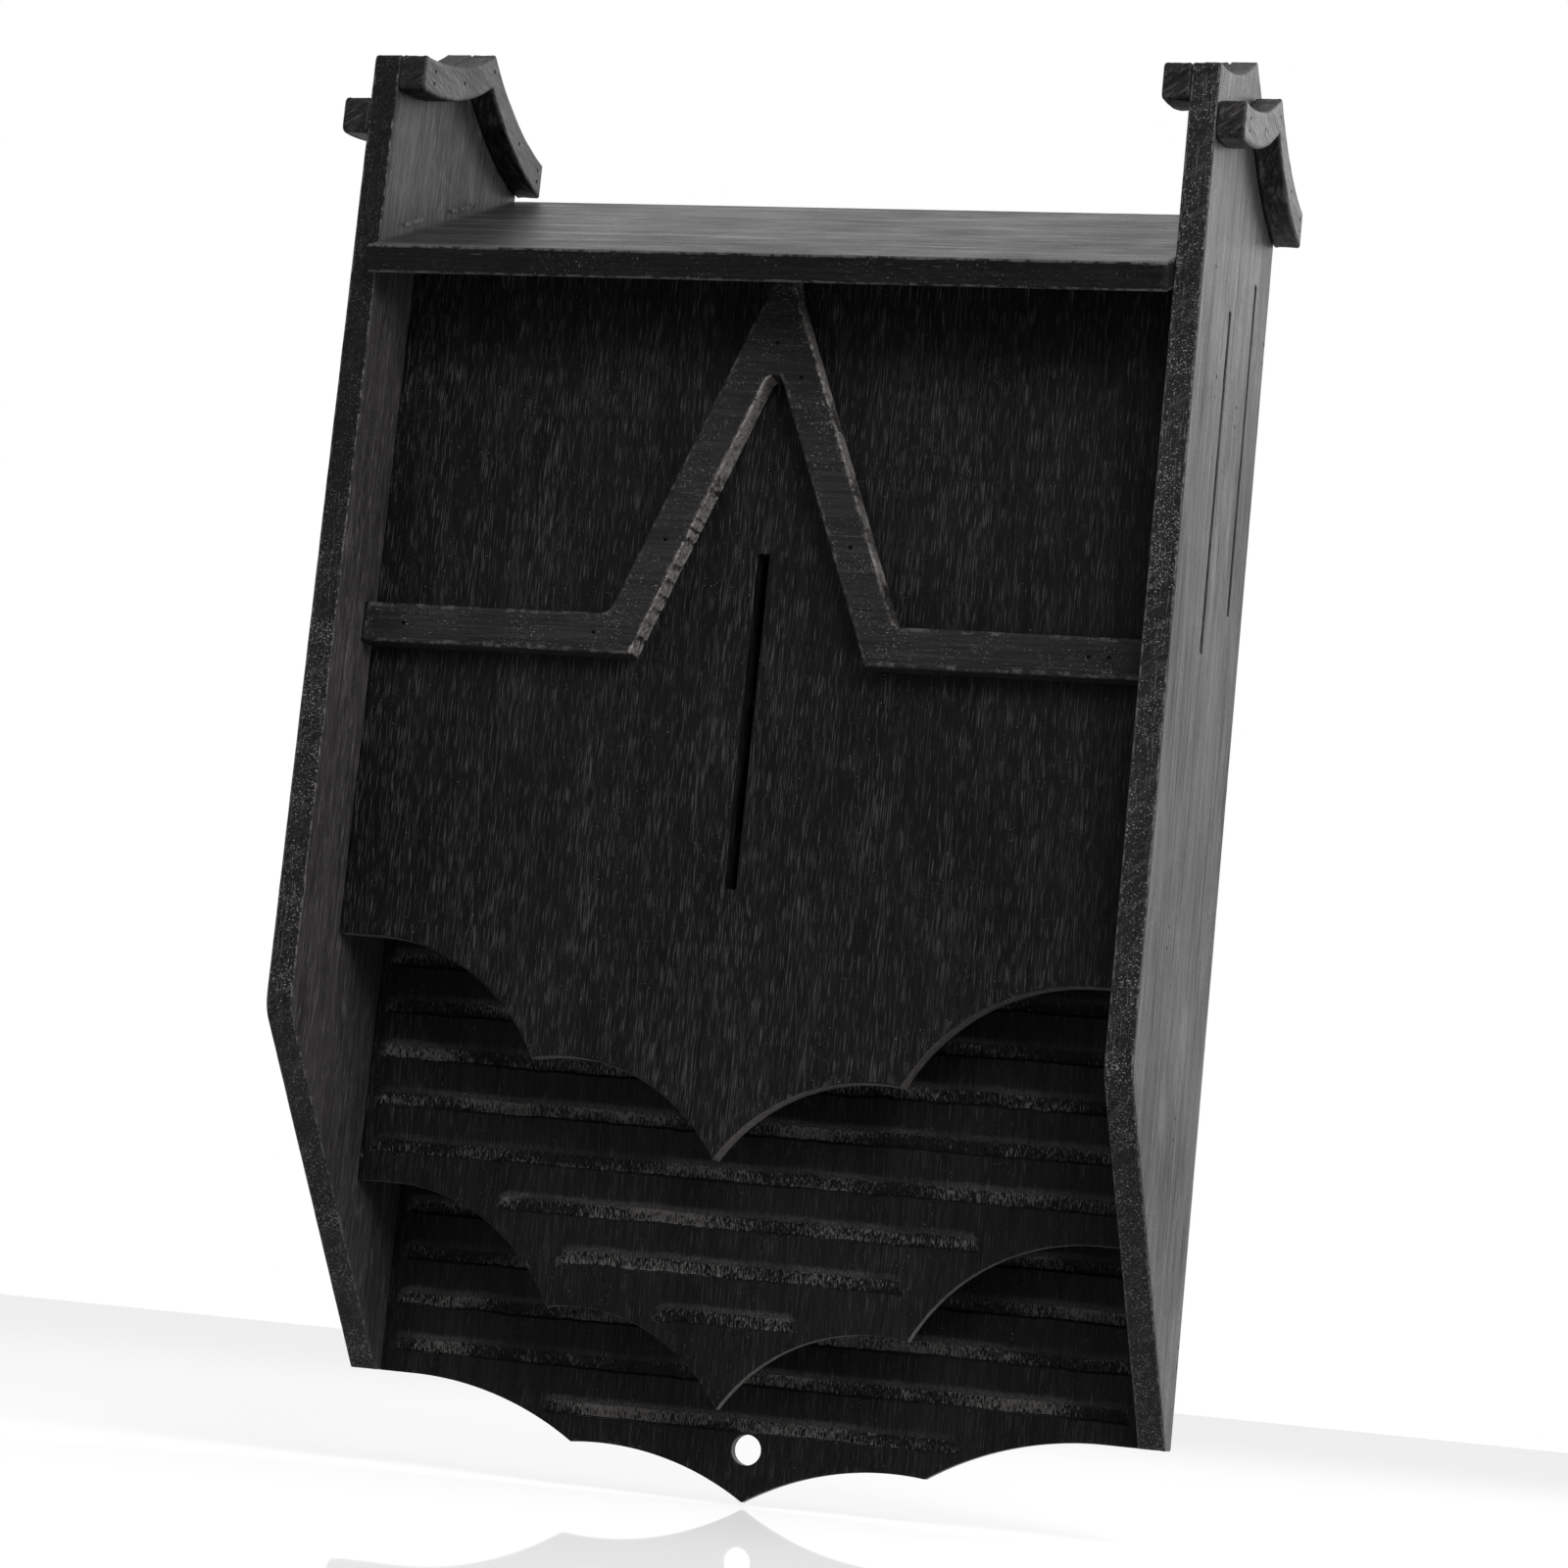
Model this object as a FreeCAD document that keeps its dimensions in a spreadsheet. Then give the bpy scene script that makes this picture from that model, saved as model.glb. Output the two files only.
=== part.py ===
import FreeCAD, Part
import math
import os

import Sketcher

# Bat box hung on a wall: two side boards carry a sloping roof, a front board with a chevron,
# a grooved baffle and a grooved back, and each side board ends in a wing-shaped crest.
# Millimetres. +X is right, +Y goes back to the wall, +Z is up. The origin lies on the rear
# face, on the centre line, level with the bottom ends of the side boards.

SIZES = [
    ("inner_width", 260.0, "clear width between the side boards"),
    ("side_depth", 117.0, "depth of a side board, front edge to wall"),
    ("crest_peak", 442.2, "height of the crest at its peak"),
    ("board", 9.0, "thickness of the solid boards"),
    ("thin_board", 5.0, "thickness of the baffle and the back"),
    ("bend_height", 110.0, "height where the front edge starts to taper back"),
    ("bend_radius", 12.0, "rounding of that corner"),
    ("toe_depth", 9.3, "depth left at the bottom end of a side board"),
    ("crest_front_drop", 20.2, "crest at the front edge, below the peak"),
    ("crest_rear_drop", 21.2, "crest at the wall, below the peak"),
    ("peak_inset", 61.0, "from the front edge back to the peak"),
    ("crest_sag", 4.0, "how far each crest arc hangs below its chord"),
    ("wing_band", 12.0, "height of the band that forms a wing"),
    ("wing_slip", 2.4, "how much lower the left outer wing sits than the right one"),
    ("wing_gap", 1.2, "between the inner wings' rear ends and the roof"),
    ("roof_angle", 22.4, "slope of the roof in degrees"),
    ("roof_overhang", 10.8, "how far the roof passes the side boards' front edges"),
    ("roof_edge_round", 1.2, "worn rounding of the roof's front edges"),
    ("edge_round", 1.0, "easing of the other boards' sawn edges"),
    ("front_inset", 32.0, "from the side boards' front edges to the front board"),
    ("front_chamber", 31.0, "clear gap between front board and baffle"),
    ("front_edge_height", 138.5, "lower edge of the front board at the sides"),
    ("baffle_edge_height", 61.5, "lower edge of the baffle at the sides"),
    ("baffle_gap", 15.0, "passage between the baffle's top and the roof"),
    ("point_offset", 60.5, "from the centre line to a side point of the scallops"),
    ("scallop_flat", 12.0, "straight stretch before a scallop starts"),
    ("point_drop", 35.3, "side point below the edge height"),
    ("tail_drop", 27.3, "middle point below the side points"),
    ("scallop_radius", 59.0, "radius of the two middle scallops"),
    ("front_tail_shift", 2.5, "how far the front board's middle point sits off centre"),
    ("back_point_drop", 16.9, "side point below the edge height, on the back"),
    ("back_tail_drop", 13.7, "middle point below the side points, on the back"),
    ("back_scallop_radius", 95.0, "radius of the two middle scallops of the back"),
    ("cut_margin", 1.0, "how far a cutting outline runs past the wood"),
    ("groove_width", 4.6, "height of a climbing groove"),
    ("groove_depth", 1.0, "depth of a climbing groove"),
    ("groove_margin", 4.5, "wood left between a groove's end and the board's side"),
    ("groove_pitch", 15.4, "spacing of the climbing grooves"),
    ("baffle_groove_rise", 12.0, "lowest full groove of the baffle above its edge height"),
    ("back_groove_rise", 9.5, "lowest full groove of the back above its edge height"),
    ("groove_top_margin", 10.0, "wood left above the highest groove"),
    ("short_groove_high", 80.0, "half length of the first groove below the full ones"),
    ("short_groove_mid", 57.0, "half length of the second one"),
    ("short_groove_low", 23.0, "half length of the third one"),
    ("back_short_groove", 70.5, "half length of the short groove of the back"),
    ("vent_width", 3.8, "width of the saw-cut vents"),
    ("front_vent_low", 161.0, "lower end of the front board's vent"),
    ("front_vent_length", 107.7, "length of the front board's vent"),
    ("front_vent_shift", 0.5, "the front board's vent lies this far left of the middle"),
    ("side_vent_length", 109.8, "length of a side board's vent"),
    ("first_vent_drop", 13.8, "upper end of the first side vent below the roof's underside"),
    ("second_vent_drop", 10.7, "upper end of the second one below it"),
    ("first_vent_lead", 6.5, "first side vent ahead of the front chamber's middle"),
    ("second_vent_lead", 3.4, "second side vent ahead of the rear chamber's middle"),
    ("chevron_thickness", 10.0, "thickness of the chevron"),
    ("chevron_base", 232.4, "lower edge of the chevron's arms"),
    ("chevron_arm", 13.1, "height of the chevron's arms"),
    ("chevron_foot", 47.0, "from the centre line to where a leg leaves its arm"),
    ("chevron_past_roof", 0.5, "the legs' outer edges would meet this far above the board"),
    ("chevron_leg", 13.5, "width of a leg, measured level"),
    ("chevron_inner_round", 3.0, "rounding inside the apex"),
    ("chevron_corner_round", 4.5, "rounding between leg and arm"),
    ("hole_radius", 5.0, "radius of the two mounting holes in the back"),
    ("low_hole_drop", 13.6, "mounting hole in the tail, below the back's edge height"),
    ("top_hole_drop", 24.6, "upper mounting hole below the back's top"),
    ("brad_width", 1.2, "width of a brad's flat wire"),
    ("brad_height", 1.0, "height of a brad's flat wire"),
    ("brad_fit", 0.05, "room around a brad in its hole"),
    ("brad_set", 0.8, "how far a brad's head is driven below the surface"),
    ("frame_brad_length", 22.0, "length of a brad through a side board"),
    ("trim_brad_length", 14.0, "length of a brad through the chevron"),
    ("wing_brad_length", 13.5, "length of a brad through a wing"),
    ("brad_pair_gap", 6.5, "distance between the two brads of a pair"),
    ("front_pair_rise", 17.3, "lower pair of the front board above its edge height"),
    ("baffle_pair_rise", 38.4, "lower pair of the baffle above its edge height"),
    ("back_pair_rise", 30.0, "lower pair of the back above its edge height"),
    ("upper_pair_drop", 36.0, "upper pair of a hanging board below its top"),
    ("roof_front_brad", 20.0, "foremost roof brad behind the side boards' front edges"),
    ("roof_rear_brad", 30.0, "rearmost roof brad ahead of the wall"),
    ("wing_pair_gap", 4.0, "distance between the two brads at a wing's end"),
    ("wing_front_pair", 9.0, "pair at a wing's front end, behind that end"),
    ("wing_first_brad", 35.4, "brad in the first crest arc, behind the front end"),
    ("wing_second_brad", 25.7, "brad in the second crest arc, ahead of the wall"),
    ("wing_rear_pair", 5.0, "pair at a wing's rear end, ahead of the wall"),
    ("arm_end_brad", 14.0, "outer brad of a chevron arm, in from the arm's end"),
    ("arm_second_brad", 6.3, "second brad of the right arm, in from the outer one"),
    ("arm_foot_brad", 4.3, "brad of the left arm beside the leg's foot"),
    ("leg_brad_rise", 31.0, "brads of the chevron's legs above the arms' middle"),
    ("apex_brad_offset", 5.5, "apex brads above and below the inner apex"),
]

# Places nearer than this count as the same place.
CLOSE = 1e-3

doc = FreeCAD.newDocument("bat_box")


class Size:
    """A number together with the expression text that yields it in the document."""

    def __init__(self, value, text=None):
        self.value = float(value)
        self.text = text if text is not None else repr(float(value))

    def __add__(self, other):
        other = as_size(other)
        return Size(self.value + other.value, f"({self.text} + {other.text})")

    def __sub__(self, other):
        other = as_size(other)
        return Size(self.value - other.value, f"({self.text} - {other.text})")

    def __mul__(self, other):
        other = as_size(other)
        return Size(self.value * other.value, f"({self.text} * {other.text})")

    def __truediv__(self, other):
        other = as_size(other)
        return Size(self.value / other.value, f"({self.text} / {other.text})")

    def __neg__(self):
        return Size(-self.value, f"(-1 * {self.text})")


def as_size(number):
    return number if isinstance(number, Size) else Size(number)


def tan(angle):
    return Size(math.tan(math.radians(angle.value)), f"tan({angle.text})")


def sin(angle):
    return Size(math.sin(math.radians(angle.value)), f"sin({angle.text})")


def cos(angle):
    return Size(math.cos(math.radians(angle.value)), f"cos({angle.text})")


def make_sheet(sizes):
    sheet = doc.addObject("Spreadsheet::Sheet", "Sizes")
    named = {}
    for row, (alias, value, note) in enumerate(sizes, start=1):
        sheet.set(f"A{row}", note)
        sheet.set(f"B{row}", str(value))
        sheet.setAlias(f"B{row}", alias)
        named[alias] = Size(value, f"Sizes.{alias}")
    doc.recompute()
    return named


size = make_sheet(SIZES)
ZERO = Size(0.0)

# Places shared by the pieces that meet there.
half_width = size["inner_width"] / 2
board = size["board"]
thin = size["thin_board"]
front_edge_y = -size["side_depth"]
front_board_face_y = front_edge_y + size["front_inset"]
front_board_rear_y = front_board_face_y + board
baffle_face_y = front_board_rear_y + size["front_chamber"]
baffle_rear_y = baffle_face_y + thin
back_face_y = -thin
peak_y = front_edge_y + size["peak_inset"]
crest_front = size["crest_peak"] - size["crest_front_drop"]
crest_rear = size["crest_peak"] - size["crest_rear_drop"]
roof_rear_height = crest_rear - size["wing_band"] - size["wing_gap"]


def roof_top(y):
    """Height of the roof's upper face at the place y."""
    return roof_rear_height + y * tan(size["roof_angle"])


def roof_underside(y):
    """Height of the roof's lower face at the place y."""
    return roof_top(y) - board / cos(size["roof_angle"])


def roof_middle(y):
    return (roof_top(y) + roof_underside(y)) / 2


baffle_top = roof_underside(baffle_face_y) - size["baffle_gap"]
chevron_arm_top = size["chevron_base"] + size["chevron_arm"]
chevron_apex = roof_underside(front_board_face_y) + size["chevron_past_roof"]
leg_slope = (chevron_apex - chevron_arm_top) / size["chevron_foot"]
inner_apex = chevron_apex - size["chevron_leg"] * leg_slope


def new_body(label, x=ZERO, y=ZERO):
    body = doc.addObject("PartDesign::Body", label)
    body.Label = label
    body.setExpression("Placement.Base.x", x.text)
    body.setExpression("Placement.Base.y", y.text)
    return body


def new_sketch(body, plane_role, name, offset=ZERO):
    """A sketch on one of the body's own origin planes, moved off it along its normal."""
    plane = next(f for f in body.Origin.OriginFeatures if f.Role == plane_role)
    sketch = body.newObject("Sketcher::SketchObject", f"{body.Label}_{name}")
    sketch.AttachmentSupport = (plane, [""])
    sketch.MapMode = "FlatFace"
    if offset is not ZERO:
        sketch.setExpression("AttachmentOffset.Base.z", offset.text)
    return sketch


def bind(sketch, constraint, text):
    index = sketch.addConstraint(constraint)
    sketch.setExpression(f"Constraints[{index}]", text)


def pin(sketch, geometry, point, across, up):
    """Hold one point of a sketch element at (across, up) from the sketch's origin."""
    for kind, place, axis in (("DistanceX", across, -2), ("DistanceY", up, -1)):
        if place is ZERO:
            sketch.addConstraint(Sketcher.Constraint("PointOnObject", geometry, point, axis))
        else:
            bind(sketch, Sketcher.Constraint(kind, -1, 1, geometry, point, place.value), place.text)


def arc_geometry(start, end, radius, bulge):
    """Arc of that radius from start to end; bulge 1 puts it left of the way, -1 right."""
    chord = end - start
    half = chord.Length / 2
    left = FreeCAD.Vector(-chord.y, chord.x, 0).normalize()
    depth = radius - math.sqrt(radius ** 2 - half ** 2)
    middle = (start + end) * 0.5 + left * (bulge * depth)
    return Part.Arc(start, middle, end)


def outline(sketch, corners):
    """Closed outline. Each corner is (across, up, edge), where edge leads to the next corner:
    None for a straight edge, or (radius, bulge) for an arc."""
    spots = [FreeCAD.Vector(across.value, up.value, 0) for across, up, edge in corners]
    firsts = []
    lasts = []
    for index, (across, up, edge) in enumerate(corners):
        start = spots[index]
        end = spots[(index + 1) % len(spots)]
        if edge is None:
            piece = sketch.addGeometry(Part.LineSegment(start, end), False)
            firsts.append((piece, 1))
            lasts.append((piece, 2))
            continue
        radius, bulge = edge
        arc = arc_geometry(start, end, radius.value, bulge)
        piece = sketch.addGeometry(arc, False)
        forward = sketch.getPoint(piece, 1).distanceToPoint(start) < CLOSE
        firsts.append((piece, 1 if forward else 2))
        lasts.append((piece, 2 if forward else 1))
    for index, (across, up, edge) in enumerate(corners):
        before = lasts[index - 1]
        sketch.addConstraint(Sketcher.Constraint("Coincident", *before, *firsts[index]))
        pin(sketch, *firsts[index], across, up)
        if edge is not None:
            piece = firsts[index][0]
            bind(sketch, Sketcher.Constraint("Radius", piece, edge[0].value), edge[0].text)


def rectangle(sketch, left, right, low, high):
    outline(sketch, [(left, low, None), (right, low, None), (right, high, None), (left, high, None)])


def circle(sketch, across, up, radius):
    centre = FreeCAD.Vector(across.value, up.value, 0)
    normal = FreeCAD.Vector(0, 0, 1)
    piece = sketch.addGeometry(Part.Circle(centre, normal, radius.value), False)
    pin(sketch, piece, 3, across, up)
    bind(sketch, Sketcher.Constraint("Radius", piece, radius.value), radius.text)


def pad(body, sketch, length, symmetric=False):
    feature = body.newObject("PartDesign::Pad", f"{sketch.Name}_pad")
    feature.Profile = sketch
    feature.setExpression("Length", length.text)
    feature.Midplane = symmetric
    doc.recompute()
    return feature


def pocket(body, sketch, depth=None, reverse=False, symmetric=False):
    """Cut the sketch into the body: to a depth, or right through when depth is None."""
    volume = body.Shape.Volume
    feature = body.newObject("PartDesign::Pocket", f"{sketch.Name}_cut")
    feature.Profile = sketch
    feature.Reversed = reverse
    feature.Midplane = symmetric
    if depth is None:
        feature.Type = "ThroughAll"
    else:
        feature.setExpression("Length", depth.text)
    doc.recompute()
    if body.Shape.Volume > volume - CLOSE:
        raise RuntimeError(f"{feature.Name} removed nothing")
    return feature


def mirror(body, features, plane_role):
    plane = next(f for f in body.Origin.OriginFeatures if f.Role == plane_role)
    feature = body.newObject("PartDesign::Mirrored", f"{body.Label}_mirror")
    feature.Originals = features
    feature.MirrorPlane = (plane, [""])
    body.Tip = feature
    doc.recompute()
    return feature


def round_edges(body, base, chosen, radius, name):
    """Round every edge of the base feature that the test picks out."""
    picked = [f"Edge{i}" for i, edge in enumerate(base.Shape.Edges, start=1) if chosen(edge)]
    if not picked:
        raise RuntimeError(f"no edge to round on {body.Label}")
    feature = body.newObject("PartDesign::Fillet", f"{body.Label}_{name}")
    feature.Base = (base, picked)
    feature.setExpression("Radius", radius.text)
    doc.recompute()
    return feature


# Crest: two hanging arcs that meet in a peak, for the side boards and the wings.

def hanging_radius(from_y, from_z, to_y, to_z):
    """Radius of an arc over that chord which sags by crest_sag."""
    run = to_y - from_y
    rise = to_z - from_z
    sag = size["crest_sag"]
    return (run * run + rise * rise) / (sag * 8) + sag / 2


first_crest_radius = hanging_radius(front_edge_y, crest_front, peak_y, size["crest_peak"])
second_crest_radius = hanging_radius(peak_y, size["crest_peak"], ZERO, crest_rear)


def crest_height(y, from_y, from_z, to_y, to_z):
    """Height at y of the hanging arc between two ends, taken as a parabola."""
    share = (y - from_y) / (to_y - from_y)
    hang = size["crest_sag"] * 4 * share * (as_size(1) - share)
    return from_z + (to_z - from_z) * share - hang


def first_arc(y):
    return crest_height(y, front_edge_y, crest_front, peak_y, size["crest_peak"])


def second_arc(y):
    return crest_height(y, peak_y, size["crest_peak"], ZERO, crest_rear)


# Brads: each joint's places, as (depth, height) through the side boards and wings.

def pair(height, gap):
    return [height - gap / 2, height + gap / 2]


def board_pairs(y, lower, top):
    """Two pairs in the end of a hanging board: one near its lower edge, one near its top."""
    gap = size["brad_pair_gap"]
    heights = pair(lower, gap) + pair(top - size["upper_pair_drop"], gap)
    return [(y, height) for height in heights]


front_board_mid_y = front_board_rear_y - board / 2
frame_brads = {
    "front_board_brads": board_pairs(
        front_board_mid_y,
        size["front_edge_height"] + size["front_pair_rise"],
        roof_underside(front_board_mid_y),
    ),
    "baffle_brads": board_pairs(
        baffle_rear_y - thin / 2,
        size["baffle_edge_height"] + size["baffle_pair_rise"],
        baffle_top,
    ),
    "back_brads": board_pairs(
        -thin / 2,
        size["back_pair_rise"],
        roof_underside(back_face_y),
    ),
    "roof_brads": [
        (y, roof_middle(y))
        for y in (front_edge_y + size["roof_front_brad"], -size["roof_rear_brad"])
    ],
}


def wing_brad_sites(drop):
    """Seven brads along a wing's middle: a pair at each end, one at the peak, one in each arc."""
    below_crest = drop + size["wing_band"] / 2
    gap = size["wing_pair_gap"]
    front_y = front_edge_y + size["wing_front_pair"]
    first_y = front_edge_y + size["wing_first_brad"]
    second_y = -size["wing_second_brad"]
    rear_y = -size["wing_rear_pair"]
    sites = [(front_y, height) for height in pair(first_arc(front_y) - below_crest, gap)]
    sites.append((first_y, first_arc(first_y) - below_crest))
    sites.append((peak_y, size["crest_peak"] - below_crest))
    sites.append((second_y, second_arc(second_y) - below_crest))
    sites += [(rear_y, height) for height in pair(second_arc(rear_y) - below_crest, gap)]
    return sites


SIDES = ("left", "right")
outer_drop = {"left": size["wing_band"] + size["wing_slip"], "right": size["wing_band"]}
inner_wing_brads = wing_brad_sites(ZERO)
outer_wing_brads = {name: wing_brad_sites(outer_drop[name]) for name in SIDES}


def leg_middle(height):
    """Distance of a chevron leg's middle line from the centre line at that height."""
    return (chevron_apex - height) / leg_slope - size["chevron_leg"] / 2


def chevron_brad_sites():
    arm_z = size["chevron_base"] + size["chevron_arm"] / 2
    leg_z = arm_z + size["leg_brad_rise"]
    second_z = inner_apex - size["apex_brad_offset"]
    outer_x = half_width - size["arm_end_brad"]
    return [
        (-outer_x, arm_z),
        (-size["chevron_foot"] - size["arm_foot_brad"], arm_z),
        (-leg_middle(leg_z), leg_z),
        (ZERO, inner_apex + size["apex_brad_offset"]),
        (leg_middle(second_z), second_z),
        (leg_middle(leg_z), leg_z),
        (outer_x - size["arm_second_brad"], arm_z),
        (outer_x, arm_z),
    ]


chevron_brads = chevron_brad_sites()


# Holes for the brads: the section of the wire, with a little room all round.

def brad_holes(body, plane_role, name, sites, offset=ZERO):
    half_width_of_hole = size["brad_width"] / 2 + size["brad_fit"]
    half_height_of_hole = size["brad_height"] / 2 + size["brad_fit"]
    sketch = new_sketch(body, plane_role, name, offset=offset)
    for across, up in sites:
        rectangle(
            sketch,
            across - half_width_of_hole,
            across + half_width_of_hole,
            up - half_height_of_hole,
            up + half_height_of_hole,
        )
    return sketch


# Side boards.

def side_vents(body):
    """Two saw-cut slots, one into each chamber."""
    half_slot = size["vent_width"] / 2
    front_middle = (front_board_rear_y + baffle_face_y) / 2
    rear_middle = (baffle_rear_y + back_face_y) / 2
    vents = new_sketch(body, "YZ_Plane", "vents")
    for middle, vent in ((front_middle, "first"), (rear_middle, "second")):
        y = middle - size[f"{vent}_vent_lead"]
        high = roof_underside(y) - size[f"{vent}_vent_drop"]
        rectangle(vents, y - half_slot, y + half_slot, high - size["side_vent_length"], high)
    pocket(body, vents, reverse=True)


def side_board(name, x):
    body = new_body(f"side_board_{name}", x=x)
    profile = new_sketch(body, "YZ_Plane", "profile")
    outline(profile, [
        (front_edge_y, size["bend_height"], None),
        (front_edge_y, crest_front, (first_crest_radius, -1)),
        (peak_y, size["crest_peak"], (second_crest_radius, -1)),
        (ZERO, crest_rear, None),
        (ZERO, ZERO, None),
        (-size["toe_depth"], ZERO, None),
    ])
    plate = pad(body, profile, board)
    bend_y = front_edge_y.value
    bend_z = size["bend_height"].value

    def at_bend(edge):
        middle = edge.CenterOfMass
        return abs(middle.y - bend_y) < CLOSE and abs(middle.z - bend_z) < CLOSE

    bent = round_edges(body, plate, at_bend, size["bend_radius"], "bend")

    def below_crest(edge):
        middle = edge.CenterOfMass
        beside = min(abs(middle.x), abs(middle.x - board.value)) < CLOSE
        return beside and middle.y < -CLOSE and middle.z < crest_front.value

    round_edges(body, bent, below_crest, size["edge_round"], "eased_edges")
    side_vents(body)
    every_joint = [site for sites in frame_brads.values() for site in sites]
    pocket(body, brad_holes(body, "YZ_Plane", "frame_holes", every_joint), reverse=True)

    # Blind holes for the wings' brads: the face at x = 0 of a left board is its outer one.
    bite = size["wing_brad_length"] + size["brad_set"] - board
    wings = [("inner_wing_holes", inner_wing_brads), ("outer_wing_holes", outer_wing_brads[name])]
    if name == "right":
        wings.reverse()
    far_wing, near_wing = wings
    far = brad_holes(body, "YZ_Plane", *far_wing, offset=board)
    pocket(body, far, depth=bite)
    near = brad_holes(body, "YZ_Plane", *near_wing)
    pocket(body, near, depth=bite, reverse=True)


side_board("left", -half_width - board)
side_board("right", half_width)


# Wings: bands that repeat the crest, glued and nailed to both faces of each side board.

def wing(label, x, drop, brads):
    body = new_body(label, x=x)
    band = size["wing_band"]
    front = crest_front - drop
    peak = size["crest_peak"] - drop
    rear = crest_rear - drop
    profile = new_sketch(body, "YZ_Plane", "profile")
    outline(profile, [
        (front_edge_y, front - band, None),
        (front_edge_y, front, (first_crest_radius, -1)),
        (peak_y, peak, (second_crest_radius, -1)),
        (ZERO, rear, None),
        (ZERO, rear - band, (second_crest_radius, 1)),
        (peak_y, peak - band, (first_crest_radius, 1)),
    ])
    plate = pad(body, profile, board)

    def at_front(edge):
        return abs(edge.CenterOfMass.y - front_edge_y.value) < CLOSE

    round_edges(body, plate, at_front, size["edge_round"], "eased_end")
    pocket(body, brad_holes(body, "YZ_Plane", "holes", brads), reverse=True)


wing("inner_wing_left", -half_width, ZERO, inner_wing_brads)
wing("outer_wing_left", -half_width - board * 2, outer_drop["left"], outer_wing_brads["left"])
wing("inner_wing_right", half_width - board, ZERO, inner_wing_brads)
wing("outer_wing_right", half_width + board, outer_drop["right"], outer_wing_brads["right"])


# Blind holes in a board's two ends, for the brads that come through the side boards.

def end_holes(body, sites, rear_y=ZERO):
    """Holes at places of the whole object, on a body whose own y = 0 is at rear_y."""
    bite = size["frame_brad_length"] + size["brad_set"] - board
    local = [(y - rear_y, z) for y, z in sites]
    cut = pocket(body, brad_holes(body, "YZ_Plane", "end_holes", local, offset=half_width), depth=bite)
    mirror(body, [cut], "YZ_Plane")


# Roof.

def roof():
    body = new_body("roof")
    slope = size["roof_angle"]
    front_y = front_edge_y - size["roof_overhang"]
    lower_front_y = front_y + board * sin(slope)
    profile = new_sketch(body, "YZ_Plane", "profile")
    outline(profile, [
        (front_y, roof_top(front_y), None),
        (ZERO, roof_top(ZERO), None),
        (ZERO, roof_underside(ZERO), None),
        (lower_front_y, roof_top(front_y) - board * cos(slope), None),
    ])
    slab = pad(body, profile, size["inner_width"], symmetric=True)

    def at_front(edge):
        middle = edge.CenterOfMass
        return middle.y < lower_front_y.value + CLOSE and abs(middle.x) < CLOSE

    round_edges(body, slab, at_front, size["roof_edge_round"], "front_edges")
    end_holes(body, frame_brads["roof_brads"])


roof()


# Hanging boards: a plate with a top that follows the roof, scalloped along its lower edge.
# Each has its rear face at its own y = 0 and grows forward from there.

def hanging_plate(label, rear_y, thickness, low, top_at):
    """Plate from low up to top_at(y), where y is measured in the whole object."""
    body = new_body(label, y=rear_y)
    profile = new_sketch(body, "YZ_Plane", "profile")
    outline(profile, [
        (-thickness, low, None),
        (-thickness, top_at(rear_y - thickness), None),
        (ZERO, top_at(rear_y), None),
        (ZERO, low, None),
    ])
    pad(body, profile, size["inner_width"], symmetric=True)
    return body


def scallop(body, thickness, edge, point_drop, tail_drop, radius, shift=ZERO):
    """Cut the lower edge to two side points and a middle one, joined by round bites, and
    ease it in front."""
    low = edge - point_drop - tail_drop
    below = low - size["cut_margin"]
    flat_x = half_width - size["scallop_flat"]
    point_x = size["point_offset"]
    run = flat_x - point_x
    outer_radius = (run * run + point_drop * point_drop) / (point_drop * 2)
    cut = new_sketch(body, "XZ_Plane", "scallops")
    outline(cut, [
        (-half_width, below, None),
        (-half_width, edge, None),
        (-flat_x, edge, (outer_radius, 1)),
        (-point_x, edge - point_drop, (radius, 1)),
        (shift, low, (radius, 1)),
        (point_x, edge - point_drop, (outer_radius, 1)),
        (flat_x, edge, None),
        (half_width, edge, None),
        (half_width, below, None),
    ])
    plate = pocket(body, cut, reverse=True)

    def low_in_front(edge_line):
        middle = edge_line.CenterOfMass
        return abs(middle.y + thickness.value) < CLOSE and middle.z < edge.value + CLOSE

    round_edges(body, plate, low_in_front, size["edge_round"], "eased_edges")


def groove_rectangle(sketch, half_length, middle):
    half = size["groove_width"] / 2
    rectangle(sketch, -half_length, half_length, middle - half, middle + half)


def climbing_grooves(body, thickness, lowest, top, short_lengths):
    """Grooves across the front face: one full-width groove repeated upward, and shorter
    ones below it that stay inside the scallops."""
    pitch = size["groove_pitch"]
    short = new_sketch(body, "XZ_Plane", "short_grooves", offset=thickness)
    for step, half_length in enumerate(short_lengths, start=1):
        groove_rectangle(short, half_length, lowest - pitch * step)
    pocket(body, short, depth=size["groove_depth"])
    full = new_sketch(body, "XZ_Plane", "full_groove", offset=thickness)
    groove_rectangle(full, half_width - size["groove_margin"], lowest)
    first = pocket(body, full, depth=size["groove_depth"])
    pattern = body.newObject("PartDesign::LinearPattern", f"{body.Label}_grooves")
    pattern.Originals = [first]
    pattern.Direction = (full, ["V_Axis"])
    room = top - size["groove_top_margin"] - lowest
    pattern.setExpression("Occurrences", f"floor({room.text} / {pitch.text}) + 1")
    pattern.setExpression("Length", f"floor({room.text} / {pitch.text}) * {pitch.text}")
    body.Tip = pattern
    doc.recompute()


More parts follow.
